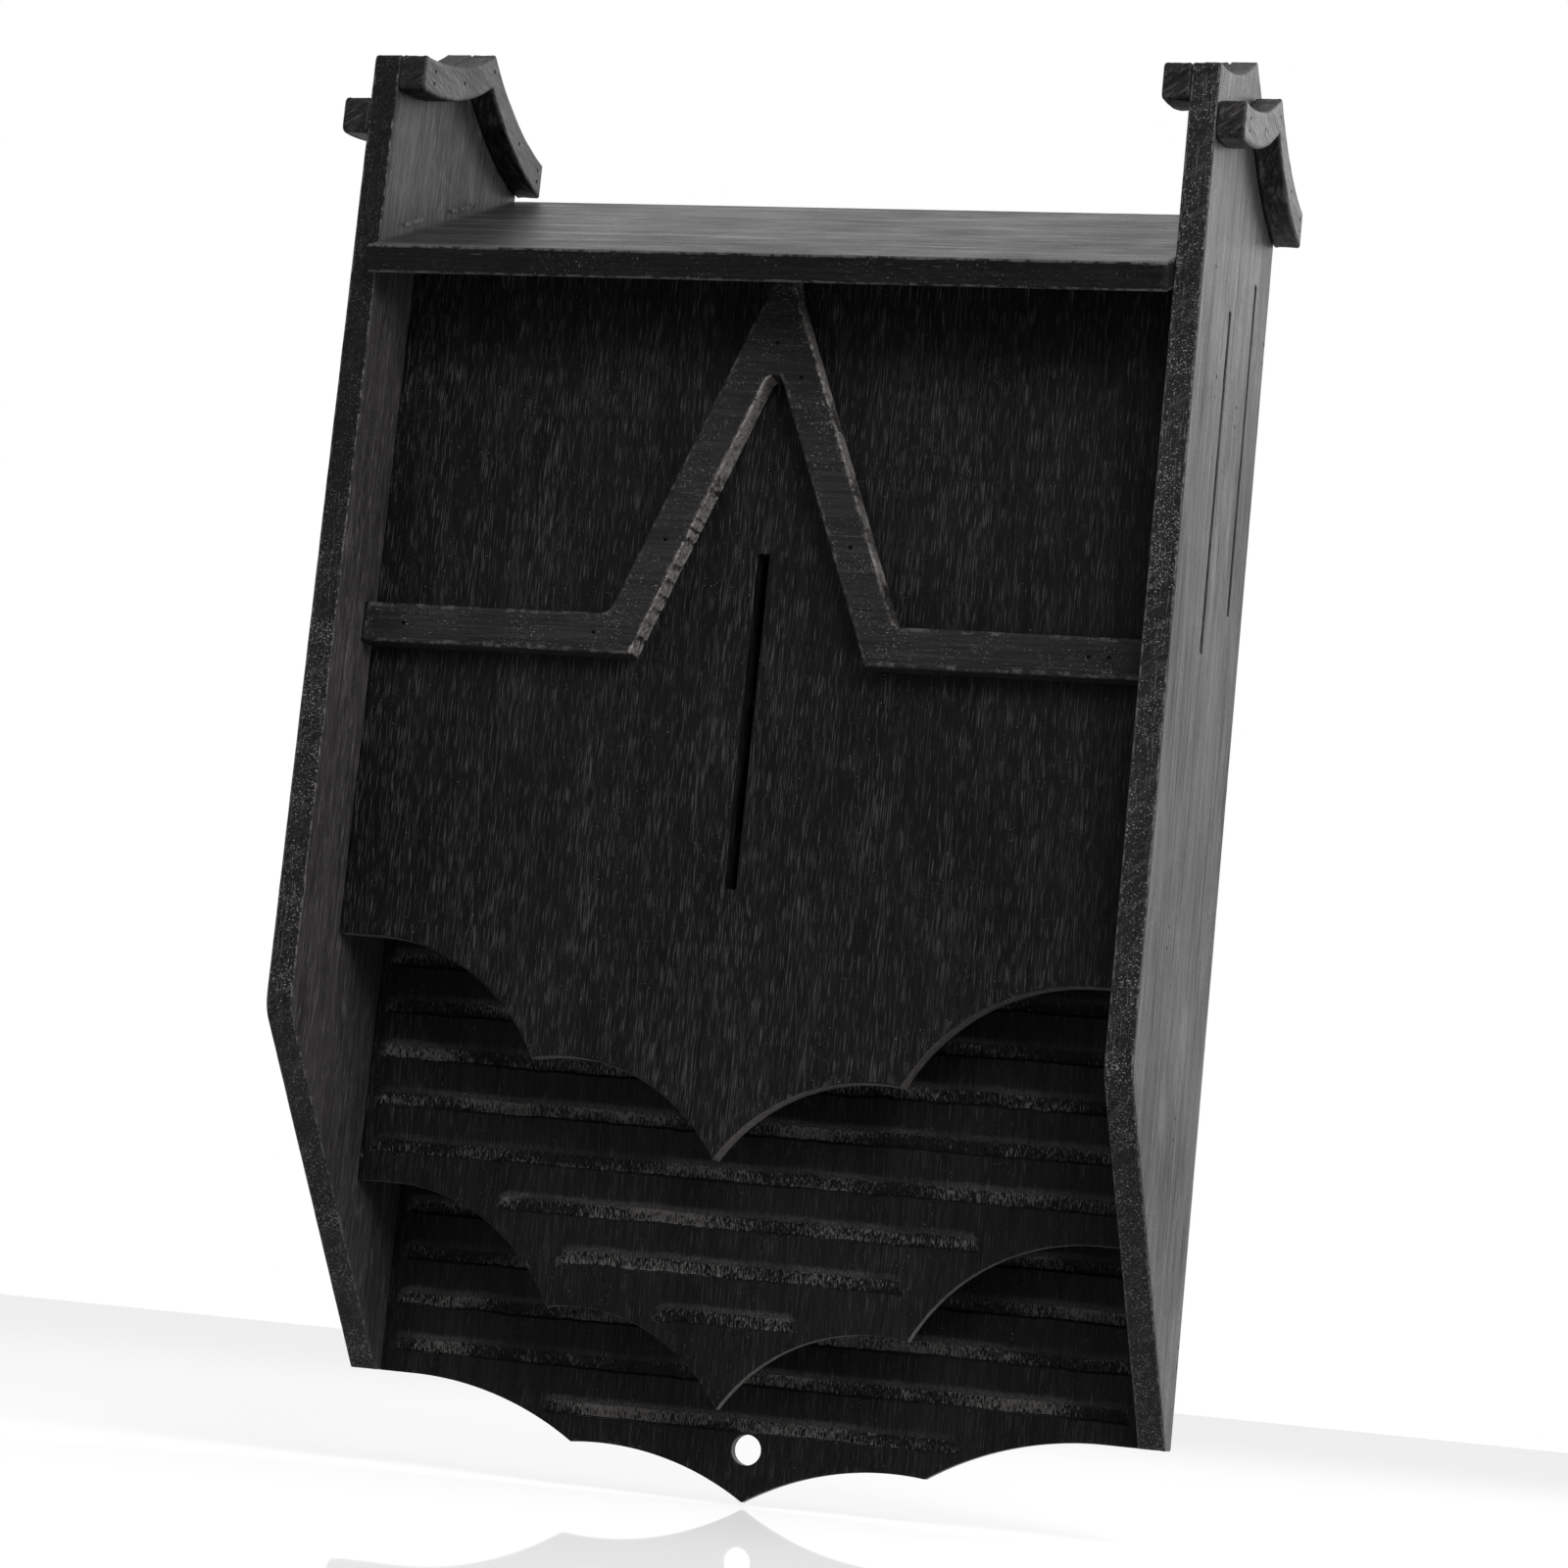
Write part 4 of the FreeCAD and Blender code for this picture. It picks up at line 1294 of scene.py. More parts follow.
def brad_places(node: str, axes: tuple[int, int], side: Side | None = None) -> list[tuple[float, float]]:
    """Middles of the brads of one CAD node, seen along their length.

    Args:
        node: The node.
        axes: The two axes that are kept.
        side: The side of the box whose brads count, or None for all.

    Returns:
        One place for each brad.
    """
    spots = np.array([tuple(vertex.co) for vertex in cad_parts[node].data.vertices])
    if side is not None:
        spots = spots[spots[:, 0] * side.value > 0]
    flat = np.unique(np.round(spots[:, axes] / MM, 2), axis=0) * MM
    places = []
    while len(flat):
        near = np.linalg.norm(flat - flat[0], axis=1) < BRAD_SPAN
        places.append(tuple((flat[near].min(axis=0) + flat[near].max(axis=0)) / 2))
        flat = flat[~near]
    return places


@dataclass
class SideBoards:
    """The two upright side boards with their crests and saw-cut vents."""

    outer_finish: StainedWood = StainedWood(
        "stained_side_board_outside", deep=(0.0060, 0.0057, 0.0063), thin=(0.0400, 0.0378, 0.0396),
        streaks=0.8, flecks=0.25, wear=0.45, lines=0.75, bands=0.5, fuzz=0.35, rough=(0.22, 0.66), gloss=0.20,
        depth=0.24 * MM, knot_face=Grain.DEPTH,
    )
    inner_finish: StainedWood = StainedWood(
        "stained_side_board_inside", deep=(0.0150, 0.0137, 0.0140), thin=(0.0520, 0.0482, 0.0486),
        streaks=0.95, streak=(0.130, 0.123, 0.120), flecks=0.3, wear=0.4, lines=0.6, gloss=0.10,
    )
    edges: StainedWood = StainedWood(
        "sawn_side_edge", deep=(0.0038, 0.0036, 0.0040), thin=(0.0165, 0.0155, 0.0167), streaks=0.6,
        worn=(0.150, 0.143, 0.139), fleck=(0.23, 0.223, 0.217), flecks=1.35, wear=0.75, fuzz=0.08, sawn=0.30,
        saw_pitch=1.3 * MM, gloss=0.08,
    )
    knots: tuple[Knot, ...] = (
        Knot(-49.0 * MM, 298.0 * MM, 6.5 * MM, 13.0 * MM, 0.4, 0.6),
        Knot(-37.0 * MM, 292.0 * MM, 5.5 * MM, 19.0 * MM, 0.4, 0.7),
        Knot(-56.5 * MM, 271.0 * MM, 6.0 * MM, 22.0 * MM, 0.5, 0.8),
        Knot(-40.0 * MM, 130.0 * MM, 6.5 * MM, 14.0 * MM, 0.4, 0.8),
        Knot(-65.0 * MM, 104.0 * MM, 7.0 * MM, 15.0 * MM, 0.5, 0.8),
    )
    vent_width: float = 3.8 * MM
    vent_length: float = 109.8 * MM
    vent_places: tuple[tuple[float, float], ...] = ((-67.0 * MM, 13.8 * MM), (-25.9 * MM, 10.7 * MM))
    corner: float = 1.9 * MM
    ridge: float = 0.08 * MM
    dark_from: float = 190.0 * MM

    def outline(self) -> Points:
        """The board's outline, depth across and height up."""
        s = SIZES
        front, rear = s.crest_radii
        begin = (s.front_y, s.crest_front_z - 10 * MM)
        drawn = Outline().start(*begin)
        drawn.round_corner(s.front_y, s.crest_front_z, self.corner, s.crest_tangent(0.0))
        drawn.arc(s.peak_y, s.peak_z, front, Bulge.RIGHT).arc(0.0, s.crest_rear_z, rear, Bulge.RIGHT)
        drawn.line(0.0, 0.0).line(-s.toe, 0.0)
        drawn.round_corner(s.front_y, s.bend_z, s.bend_radius, np.array((s.front_y, s.crest_front_z)))
        return drawn.line(*begin).closed()

    def vents(self) -> list[Points]:
        """The loops of the two vents."""
        found = []
        for y, drop in self.vent_places:
            high = SIZES.roof_underside(y) - drop
            found.append(slot(y, high - self.vent_length, high, self.vent_width, 3.0 * MM))
        return found

    def build(self) -> None:
        """Make both boards."""
        plain, inner = self.outer_finish.build(), self.inner_finish.build()
        darker = replace(self.edges, name="sawn_side_edge_darker_above", dark_from=self.dark_from)
        edges = {Side.LEFT: darker.build(), Side.RIGHT: self.edges.build()}
        knotty = replace(self.outer_finish, name="stained_side_board_knots", knots=self.knots).build()
        groups = ("front_board_brads", "baffle_brads", "back_brads", "roof_brads")
        for side in Side:
            face_x = side.value * SIZES.half_width + (SIZES.board if side is Side.RIGHT else 0.0)
            sites = [place for group in groups for place in brad_places(group, (1, 2), side)]
            board = Board(
                name=f"side_board_{side.word}_wood",
                plane=facing_right(face_x),
                outer=self.outline(),
                thickness=SIZES.board,
                holes=self.vents() + SIZES.brad_slots(sites),
                rim=0.55 * MM,
                front=RaisedGrain(height=self.ridge, seed=20 + side.value),
                back=RaisedGrain(height=self.ridge, seed=30 + side.value),
                wall_rings=5,
                seed=40 + side.value,
            )
            faces = (knotty, inner) if side is Side.RIGHT else (inner, plain)
            settle(board.build(faces[0], edges[side], faces[1]), "stained_side", f"side_board_{side.word}")


@dataclass
class Wings:
    """The four bands along the crests, two to each side board."""

    finish: StainedWood = StainedWood(
        "stained_wing", grain=Grain.DEPTH, deep=(0.0120, 0.0112, 0.0116), thin=(0.0420, 0.0395, 0.0405),
        streaks=0.35, flecks=0.4, wear=0.2, sawn=0.9, saw_pitch=0.9 * MM, rough=(0.34, 0.54), gloss=0.16,
    )
    edges: StainedWood = StainedWood(
        "sawn_wing_edge", grain=Grain.DEPTH, deep=(0.0040, 0.0038, 0.0040), thin=(0.0190, 0.0178, 0.0183),
        streaks=0.35, flecks=0.7, wear=0.2, fuzz=0.15, sawn=1.3, saw_pitch=1.2 * MM, gloss=0.08,
    )
    corner: float = 2.0 * MM

    def outline(self, drop: float) -> Points:
        """A wing's outline at that drop below the crest, depth across and height up.

        Args:
            drop: How far the wing lies below the crest.

        Returns:
            The outline.
        """
        s = SIZES
        front, rear = s.crest_radii
        band = s.wing_band
        low, high = s.crest_front_z - drop - band, s.crest_front_z - drop
        begin = (s.front_y, (low + high) / 2)
        drawn = Outline(1.0 * MM).start(*begin)
        drawn.round_corner(s.front_y, high, self.corner, s.crest_tangent(drop))
        drawn.arc(s.peak_y, s.peak_z - drop, front, Bulge.RIGHT)
        drawn.arc(0.0, s.crest_rear_z - drop, rear, Bulge.RIGHT)
        drawn.line(0.0, s.crest_rear_z - drop - band)
        drawn.arc(s.peak_y, s.peak_z - drop - band, rear, Bulge.LEFT)
        below = s.crest_tangent(drop + band) - np.array((s.front_y, low))
        below /= np.linalg.norm(below)
        reach = self.corner / math.tan(math.acos(below[1]) / 2)
        drawn.arc(s.front_y + below[0] * reach, low + below[1] * reach, front, Bulge.LEFT)
        drawn.arc(s.front_y, low + reach, self.corner, Bulge.LEFT)
        return drawn.line(*begin).closed()

    def build(self) -> None:
        """Make the four wings."""
        finish, edges = self.finish.build(), self.edges.build()
        for side in Side:
            outer_drop = SIZES.wing_band + (SIZES.wing_slip if side is Side.LEFT else 0.0)
            for number, (label, drop) in enumerate((("inner", 0.0), ("outer", outer_drop))):
                node = f"{label}_wing_{side.word}"
                low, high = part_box(node)
                sites = brad_places(f"{label}_wing_brads", (1, 2), side)
                board = Board(
                    name=f"{node}_wood",
                    plane=facing_right(high.x),
                    outer=self.outline(drop),
                    thickness=high.x - low.x,
                    holes=SIZES.brad_slots(sites),
                    rim=0.9 * MM,
                    grid=(0.9 * MM, 0.9 * MM),
                    front=SawMarks(seed=50 + side.value),
                    back=SawMarks(seed=60 + side.value),
                    wall_rings=6,
                    ragged=0.22 * MM,
                    seed=70 + 4 * number + side.value,
                )
                settle(board.build(finish, edges), "stained_wing", node)


@dataclass
class Roof:
    """The sloping roof board between the side boards."""

    finish: StainedWood = StainedWood(
        "stained_roof", grain=Grain.ACROSS, deep=(0.0060, 0.0056, 0.0060), thin=(0.0300, 0.0280, 0.0298),
        streaks=0.8, flecks=0.3, wear=0.9, lines=0.7, bands=0.9, rough=(0.26, 0.62), gloss=0.26,
        depth=0.18 * MM,
    )
    edges: StainedWood = StainedWood(
        "stained_roof_edge", grain=Grain.ACROSS, deep=(0.0026, 0.0024, 0.0026), thin=(0.0100, 0.0093, 0.0097),
        streaks=0.1, flecks=0.6, wear=0.9, fuzz=0.06, lines=0.6,
    )
    set_back: float = 0.26 * MM

    def build(self) -> None:
        """Make the roof, its front edge just inside the CAD one's rounder edge."""
        s = SIZES
        turn = math.radians(s.roof_slope)
        front_y = s.front_y - s.roof_overhang
        length = -front_y / math.cos(turn)
        drawn = Outline(2.5 * MM).start(-s.half_width, self.set_back).line(s.half_width, self.set_back)
        drawn.line(s.half_width, length).line(-s.half_width, length).line(-s.half_width, self.set_back)
        lean = math.tan(turn) / length

        def cut_upright(flat: Points, out: Numbers) -> Points:
            """Lean the rear end so that it stands flat on the wall."""
            return np.column_stack((flat[:, 0], flat[:, 1] * (1 + out * lean)))

        board = Board(
            name="roof_wood",
            plane=Plane(
                Vector((0, front_y, s.roof_top(front_y))),
                Vector((1, 0, 0)),
                Vector((0, math.cos(turn), math.sin(turn))),
                Vector((0, -math.sin(turn), math.cos(turn))),
            ),
            outer=drawn.closed(),
            thickness=s.board,
            rim=0.6 * MM,
            grid=(7.0 * MM, 1.0 * MM),
            front=RaisedGrain(along_up=False, height=0.10 * MM, seed=81),
            back=RaisedGrain(along_up=False, height=0.08 * MM, seed=83),
            shift=cut_upright,
            wall_rings=5,
            seed=85,
        )
        settle(board.build(self.finish.build(), self.edges.build()), "stained_roof", "roof")


@dataclass(frozen=True)
class Scallops:
    """The lower edge of a hanging board: two side points and a middle one, joined by round bites."""

    edge: float
    point_drop: float
    tail_drop: float
    radius: float
    shift: float = 0.0
    flat: float = 12.0 * MM
    point: float = 60.5 * MM

    def draw(self, top: float) -> Points:
        """The whole board's outline up to that height.

        Args:
            top: Height of the board's top.

        Returns:
            The outline.
        """
        half = SIZES.half_width
        flat_x = half - self.flat
        run = flat_x - self.point
        outer = (run**2 + self.point_drop**2) / (self.point_drop * 2)
        low = self.edge - self.point_drop
        drawn = Outline().start(-half, self.edge).line(-flat_x, self.edge)
        drawn.arc(-self.point, low, outer, Bulge.LEFT)
        drawn.arc(self.shift, low - self.tail_drop, self.radius, Bulge.LEFT)
        drawn.arc(self.point, low, self.radius, Bulge.LEFT)
        drawn.arc(flat_x, self.edge, outer, Bulge.LEFT)
        return drawn.line(half, self.edge).line(half, top).line(-half, top).line(-half, self.edge).closed()


@dataclass(frozen=True)
class Groove:
    """One climbing groove: the height of its middle and half its length."""

    up: float
    half: float


@dataclass
class GrooveCutter:
    """Rough grooves with a crisp lower lip and a torn floor that runs out upward.

    Attributes:
        height: A groove's height, depth its depth and pitch the spacing of its points.
        profile: For each row of points its place as a share of the height above the lip, its share of the
        depth and how torn the wood is there; above 1 that gives a painted shadow line under the lip, and near
        0.4 a rim of dust and painted light.
        lip_rows: The rows between which the lip stands, which edges of the mesh follow.
        row_step: Height over which the noise moves on to another line.
    """

    height: float = 4.6 * MM
    depth: float = 1.15 * MM
    pitch: float = 1.16 * MM
    seed: int = 91
    profile: tuple[tuple[float, float, float], ...] = (
        (-0.45, 0.0, 0.0),
        (-0.10, 0.0, 0.0),
        (0.0, 0.0, 0.0),
        # The lip row: a torn value above 1 paints a shadow line under the lip.
        (0.035, 1.0, 1.4),
        (0.15, 0.95, 1.0),
        (0.30, 0.86, 1.0),
        (0.46, 0.76, 1.0),
        (0.62, 0.66, 1.0),
        (0.78, 0.52, 1.0),
        (0.90, 0.34, 0.9),
        # Rows at and above the groove's top: torn values near 0.4 give a rim of dust and painted light.
        (1.0, 0.06, 0.45),
        (1.12, 0.0, 0.40),
        (1.55, 0.0, 0.0),
    )
    lip_rows: tuple[float, float] = (0.0, 0.035)
    row_step: float = 15.4 * MM

    def lip(self, across: Numbers, groove: Groove) -> Numbers:
        """Height of the lower lip along a groove.

        Args:
            across: Places along the groove.
            groove: The groove.

        Returns:
            The heights.
        """
        row = groove.up / self.row_step * 3.7
        slow = ripple(across / (11 * MM), across * 0 + row, self.seed)
        quick = ripple(across / (1.7 * MM), across * 0 + row, self.seed + 1)
        return groove.up - self.height / 2 + (0.28 * slow + 0.26 * quick) * MM

    def ends(self, across: Numbers, groove: Groove) -> Numbers:
        """Share of the groove's height that is left near its round ends."""
        into = np.clip((np.abs(across) - (groove.half - self.height / 2)) / (self.height / 2), 0, 0.985)
        return np.sqrt(1 - into**2)

    def cut(self, grooves: Sequence[Groove]) -> Extra:
        """The grooves' rows of points.

        Args:
            grooves: The grooves of one board.

        Returns:
            The rows, to lay on the board's front face.
        """
        rng = np.random.default_rng(self.seed)
        extra = Extra()
        for groove in grooves:
            count = int(2 * groove.half / self.pitch)
            across = np.linspace(-groove.half + 0.2 * MM, groove.half - 0.2 * MM, count)
            across[1:-1] += rng.uniform(-0.25, 0.25, count - 2) * self.pitch
            lip, left = self.lip(across, groove), self.ends(across, groove)
            for share, depth, tear in self.profile:
                up = lip + share * self.height * left
                uneven = ripple(across / (0.9 * MM), up / (1.2 * MM), self.seed + 2)
                uneven = uneven + 0.6 * ripple(across / (5 * MM), up / (9 * MM), self.seed + 3)
                drop = depth * self.depth * (0.45 + 0.55 * left) * (1 + 0.38 * uneven)
                flat = np.column_stack((across, up))
                extra.add(flat, drop, np.full(count, tear), joined=share in self.lip_rows)
        return extra

    def floors(self, grooves: Sequence[Groove], plane: Plane, border: Points) -> list[Points]:
        """Lines along the grooves' floors, clear of the board's edge.

        Args:
            grooves: The grooves of one board.
            plane: The board's front face.
            border: Its outline.

        Returns:
            For each stretch of floor its places in the object's frame.
        """
        lines = []
        for groove in grooves:
            across = np.arange(-groove.half + 1.0 * MM, groove.half - 1.0 * MM, 1.4 * MM)
            flat = np.column_stack((across, self.lip(across, groove) + 0.45 * self.height))
            kept = inside(flat, border) & (distance(flat, [border]) > 2.5 * MM)
            place = plane.place(flat, np.full(len(flat), -0.7 * MM))
            breaks = np.flatnonzero(np.diff(kept.astype(int))) + 1
            runs = zip(np.split(place, breaks), np.split(kept, breaks))
            lines += [run for run, clear in runs if clear[0] and len(run) > 1]
        return lines

    def covers(self, grooves: Sequence[Groove]) -> Callable[[Points], Numbers]:
        """A test of which points lie in or right beside a groove.

        Args:
            grooves: The grooves of one board.

        Returns:
            The test.
        """

        def test(flat: Points) -> Numbers:
            """Which points a groove takes."""
            found = np.zeros(len(flat), bool)
            for groove in grooves:
                gap = np.abs(flat[:, 1] - groove.up)
                found |= (gap < self.height * 0.98) & (np.abs(flat[:, 0]) < groove.half + 0.6 * MM)
            return found

        return test


@dataclass
class HangingBoards:
    """Front board, baffle and back, which hang between the side boards."""

    front_finish: StainedWood = StainedWood(
        "stained_front_board", thin=(0.0105, 0.0099, 0.0102), streaks=1.15, flecks=0.25, wear=0.3, lines=0.5,
        streak=(0.050, 0.0480, 0.0465),
        knots=(
            Knot(43 * MM, 330 * MM, 11 * MM, 17 * MM, 0.16),
            Knot(52 * MM, 306 * MM, 7 * MM, 8 * MM, 0.20),
            Knot(36 * MM, 262 * MM, 6 * MM, 7 * MM, 0.18),
        ),
    )
    inner_finish: StainedWood = StainedWood(
        "stained_grooved_board", thin=(0.0112, 0.0105, 0.0109), streaks=0.95, flecks=0.2, wear=0.3, lines=0.4,
        streak=(0.029, 0.0278, 0.0270),
    )
    edges: StainedWood = StainedWood(
        "sawn_board_edge", deep=(0.0360, 0.0342, 0.0330), thin=(0.1600, 0.1525, 0.1460), streaks=0.5,
        worn=(0.180, 0.172, 0.165), flecks=0.5, wear=0.6, fuzz=0.3, sawn=0.3, saw_pitch=1.1 * MM, gloss=0.08,
    )
    vent_width: float = 3.8 * MM
    vent_shift: float = -0.5 * MM
    vent: tuple[float, float] = (161.0 * MM, 268.7 * MM)
    pitch: float = 15.4 * MM
    margin: float = 4.5 * MM
    hole_radius: float = 5.0 * MM

    def climbs(self, lowest: float, top: float, short: Sequence[float]) -> list[Groove]:
        """The grooves of a board, from its short ones up to its top.

        Args:
            lowest: Height of the lowest full groove.
            top: Height of the board's top.
            short: Half the lengths of the short grooves under it, going down.

        Returns:
            The grooves.
        """
        found = [Groove(lowest - self.pitch * step, half) for step, half in enumerate(short, start=1)]
        count = int((top - 10 * MM - lowest) / self.pitch) + 1
        found += [Groove(lowest + self.pitch * step, SIZES.half_width - self.margin) for step in range(count)]
        return found

    def front_board(self, edges: bpy.types.Material) -> None:
        """Make the front board with its vent.

        Args:
            edges: The material of its sawn edges.
        """
        s = SIZES
        top = s.roof_underside(s.front_board_y)
        outline = Scallops(138.5 * MM, 35.3 * MM, 27.3 * MM, 59.0 * MM, shift=2.5 * MM).draw(top)
        board = Board(
            name="front_board_wood",
            plane=facing_front(s.front_board_y),
            outer=outline,
            thickness=s.board,
            holes=[slot(self.vent_shift, *self.vent, self.vent_width, 2.0 * MM)],
            rim=0.5 * MM,
            hole_rim=0.3 * MM,
            grid=(0.95 * MM, 6.0 * MM),
            front=RaisedGrain(pitch=1.0 * MM, height=0.10 * MM, seed=101),
            shift=s.under_roof(top),
            seed=103,
        )
        settle(board.build(self.front_finish.build(), edges), "stained_front", "front_board")

    def grooved(self, edges: bpy.types.Material) -> None:
        """Make the baffle and the back.

        Args:
            edges: The material of their sawn edges.
        """
        s = SIZES
        finish = self.inner_finish.build()
        baffle_top = s.roof_underside(s.baffle_y) - 15 * MM
        back_top = s.roof_underside(-s.thin)
        hole_low, hole_high = -13.6 * MM, back_top - 24.6 * MM
        wall_holes = [drilled(0.0, up, self.hole_radius, 40) for up in (hole_low, hole_high)]
        baffle_edge = Scallops(61.5 * MM, 35.3 * MM, 27.3 * MM, 59.0 * MM).draw(baffle_top)
        back_edge = Scallops(0.0, 16.9 * MM, 13.7 * MM, 95.0 * MM).draw(back_top)
        baffle_grooves = self.climbs(73.5 * MM, baffle_top, (80 * MM, 57 * MM, 23 * MM))
        back_grooves = self.climbs(9.5 * MM, back_top, (70.5 * MM,))
        jobs = (
            ("baffle", facing_front(s.baffle_y), baffle_edge, baffle_grooves, [], None),
            ("back", facing_front(-s.thin), back_edge, back_grooves, wall_holes, s.under_roof(back_top)),
        )
        for number, (node, plane, edge, grooves, holes, shift) in enumerate(jobs):
            cutter = GrooveCutter(seed=111 + 10 * number)
            board = Board(
                name=f"{node}_wood",
                plane=plane,
                outer=edge,
                thickness=s.thin,
                holes=holes,
                rim=0.45 * MM,
                hole_rim=0.4 * MM,
                grid=(1.3 * MM, 3.2 * MM),
                front=RaisedGrain(pitch=1.3 * MM, height=0.08 * MM, seed=105 + number),
                extra=cutter.cut(grooves),
                bare=cutter.covers(grooves),
                shift=shift,
                pale_holes=True,
                wall_rings=3,
                seed=107 + number,
            )
            settle(board.build(finish, edges), "stained_grooved", node)
            lines = cutter.floors(grooves, plane, edge)
            settle(Splinters(f"{node}_torn_fibres", lines).build(finish), "stained_grooved")

    def build(self) -> None:
        """Make the three boards."""
        edges = self.edges.build()
        self.front_board(edges)
        self.grooved(edges)


@dataclass
class Splinters:
    """Torn fibres that stand along lines, as one piece."""

    name: str
    lines: list[Points]
    spacing: float = 0.55 * MM
    length: float = 2.1 * MM
    width: float = 0.16 * MM
    scatter: float = 1.5 * MM
    # 0.45 gives the fibres the groove rim's colouring: dust and painted light patches.
    torn: float = 0.45
    worn: float = 0.0
    seed: int = 5

    def paths(self) -> bpy.types.Object:
        """The lines as one mesh of edges."""
        spots = np.vstack(self.lines)
        edges, first = [], 0
        for line in self.lines:
            edges += [(first + k, first + k + 1) for k in range(len(line) - 1)]
            first += len(line)
        mesh = bpy.data.meshes.new(f"{self.name}_paths")
        mesh.from_pydata(spots.tolist(), edges, [])
        return add_object(f"{self.name}_paths", mesh)

    def tree(self) -> bpy.types.NodeTree:
        """The node tree that sets splinters along lines."""
        tree = bpy.data.node_groups.new("splinters_along_lines", "GeometryNodeTree")
        face = tree.interface
        face.new_socket("Geometry", in_out="INPUT", socket_type="NodeSocketGeometry")
        for name in ("Spacing", "Fibre length", "Fibre width", "Scatter"):
            face.new_socket(name, in_out="INPUT", socket_type="NodeSocketFloat")
        face.new_socket("Seed", in_out="INPUT", socket_type="NodeSocketInt")
        face.new_socket("Finish", in_out="INPUT", socket_type="NodeSocketMaterial")
        face.new_socket("Geometry", in_out="OUTPUT", socket_type="NodeSocketGeometry")
        add, link = tree.nodes.new, tree.links.new
        entry, leave = add("NodeGroupInput"), add("NodeGroupOutput")
        curve, points = add("GeometryNodeMeshToCurve"), add("GeometryNodeCurveToPoints")
        points.mode = "LENGTH"
        link(entry.outputs["Geometry"], curve.inputs[0])
        link(curve.outputs[0], points.inputs["Curve"])
        link(entry.outputs["Spacing"], points.inputs["Length"])

        def scatter(kind: str, low: object, high: object, step: int) -> bpy.types.NodeSocket:
            """A random value for each splinter.

            Args:
                kind: The value's type.
                low: The lowest.
                high: The highest.
                step: Tells it from the other random values.

            Returns:
                The value.
            """
            made, seed = add("FunctionNodeRandomValue"), add("ShaderNodeMath")
            made.data_type = kind
            link(entry.outputs["Seed"], seed.inputs[0])
            seed.inputs[1].default_value = step
            link(seed.outputs[0], made.inputs["Seed"])
            shift = 0 if kind == "FLOAT_VECTOR" else 2
            made.inputs[shift].default_value = low
            made.inputs[shift + 1].default_value = high
            return made.outputs[0 if kind == "FLOAT_VECTOR" else 1]

        moved, offset = add("GeometryNodeSetPosition"), add("ShaderNodeVectorMath")
        offset.operation = "SCALE"
        link(scatter("FLOAT_VECTOR", (-0.3, -0.25, -1.0), (0.3, 0.25, 1.0), 1), offset.inputs[0])
        link(entry.outputs["Scatter"], offset.inputs["Scale"])
        link(points.outputs["Points"], moved.inputs["Geometry"])
        link(offset.outputs[0], moved.inputs["Offset"])

        splinter = add("GeometryNodeMeshCone")
        splinter.inputs["Vertices"].default_value = 4
        link(entry.outputs["Fibre width"], splinter.inputs["Radius Bottom"])
        tip = add("ShaderNodeMath")
        tip.operation = "MULTIPLY"
        tip.inputs[1].default_value = 0.3
        link(entry.outputs["Fibre width"], tip.inputs[0])
        link(tip.outputs[0], splinter.inputs["Radius Top"])
        link(entry.outputs["Fibre length"], splinter.inputs["Depth"])

        spread = add("GeometryNodeInstanceOnPoints")
        link(moved.outputs[0], spread.inputs["Points"])
        link(splinter.outputs["Mesh"], spread.inputs["Instance"])
        link(scatter("FLOAT_VECTOR", (0.05, -0.30, -3.1), (0.45, 0.30, 3.1), 2), spread.inputs["Rotation"])
        link(scatter("FLOAT_VECTOR", (0.5, 0.5, 0.35), (1.3, 1.3, 1.15), 3), spread.inputs["Scale"])
        real, dressed = add("GeometryNodeRealizeInstances"), add("GeometryNodeSetMaterial")
        link(spread.outputs[0], real.inputs[0])
        link(real.outputs[0], dressed.inputs["Geometry"])
        link(entry.outputs["Finish"], dressed.inputs["Material"])
        link(dressed.outputs[0], leave.inputs[0])
        return tree

    def build(self, finish: bpy.types.Material) -> bpy.types.Object:
        """Make the splinters' object.

        Args:
            finish: Its material.

        Returns:
            The object, a plain mesh at the origin.
        """
        lines = self.paths()
        modifier = lines.modifiers.new("splinters", "NODES")
        tree = self.tree()
        modifier.node_group = tree
        values = {
            "Spacing": self.spacing, "Fibre length": self.length, "Fibre width": self.width,
            "Scatter": self.scatter, "Seed": self.seed, "Finish": finish,
        }
        for item in tree.interface.items_tree:
            if item.in_out == "INPUT" and item.name in values:
                modifier[item.identifier] = values[item.name]
        settled = lines.evaluated_get(bpy.context.evaluated_depsgraph_get())
        mesh = bpy.data.meshes.new_from_object(settled)
        lines.modifiers.remove(modifier)
        bpy.data.objects.remove(lines)
        for label, value in (("wear", self.worn), ("torn", self.torn)):
            keep_values(mesh, label, np.full(len(mesh.vertices), value))
        return add_object(self.name, mesh)


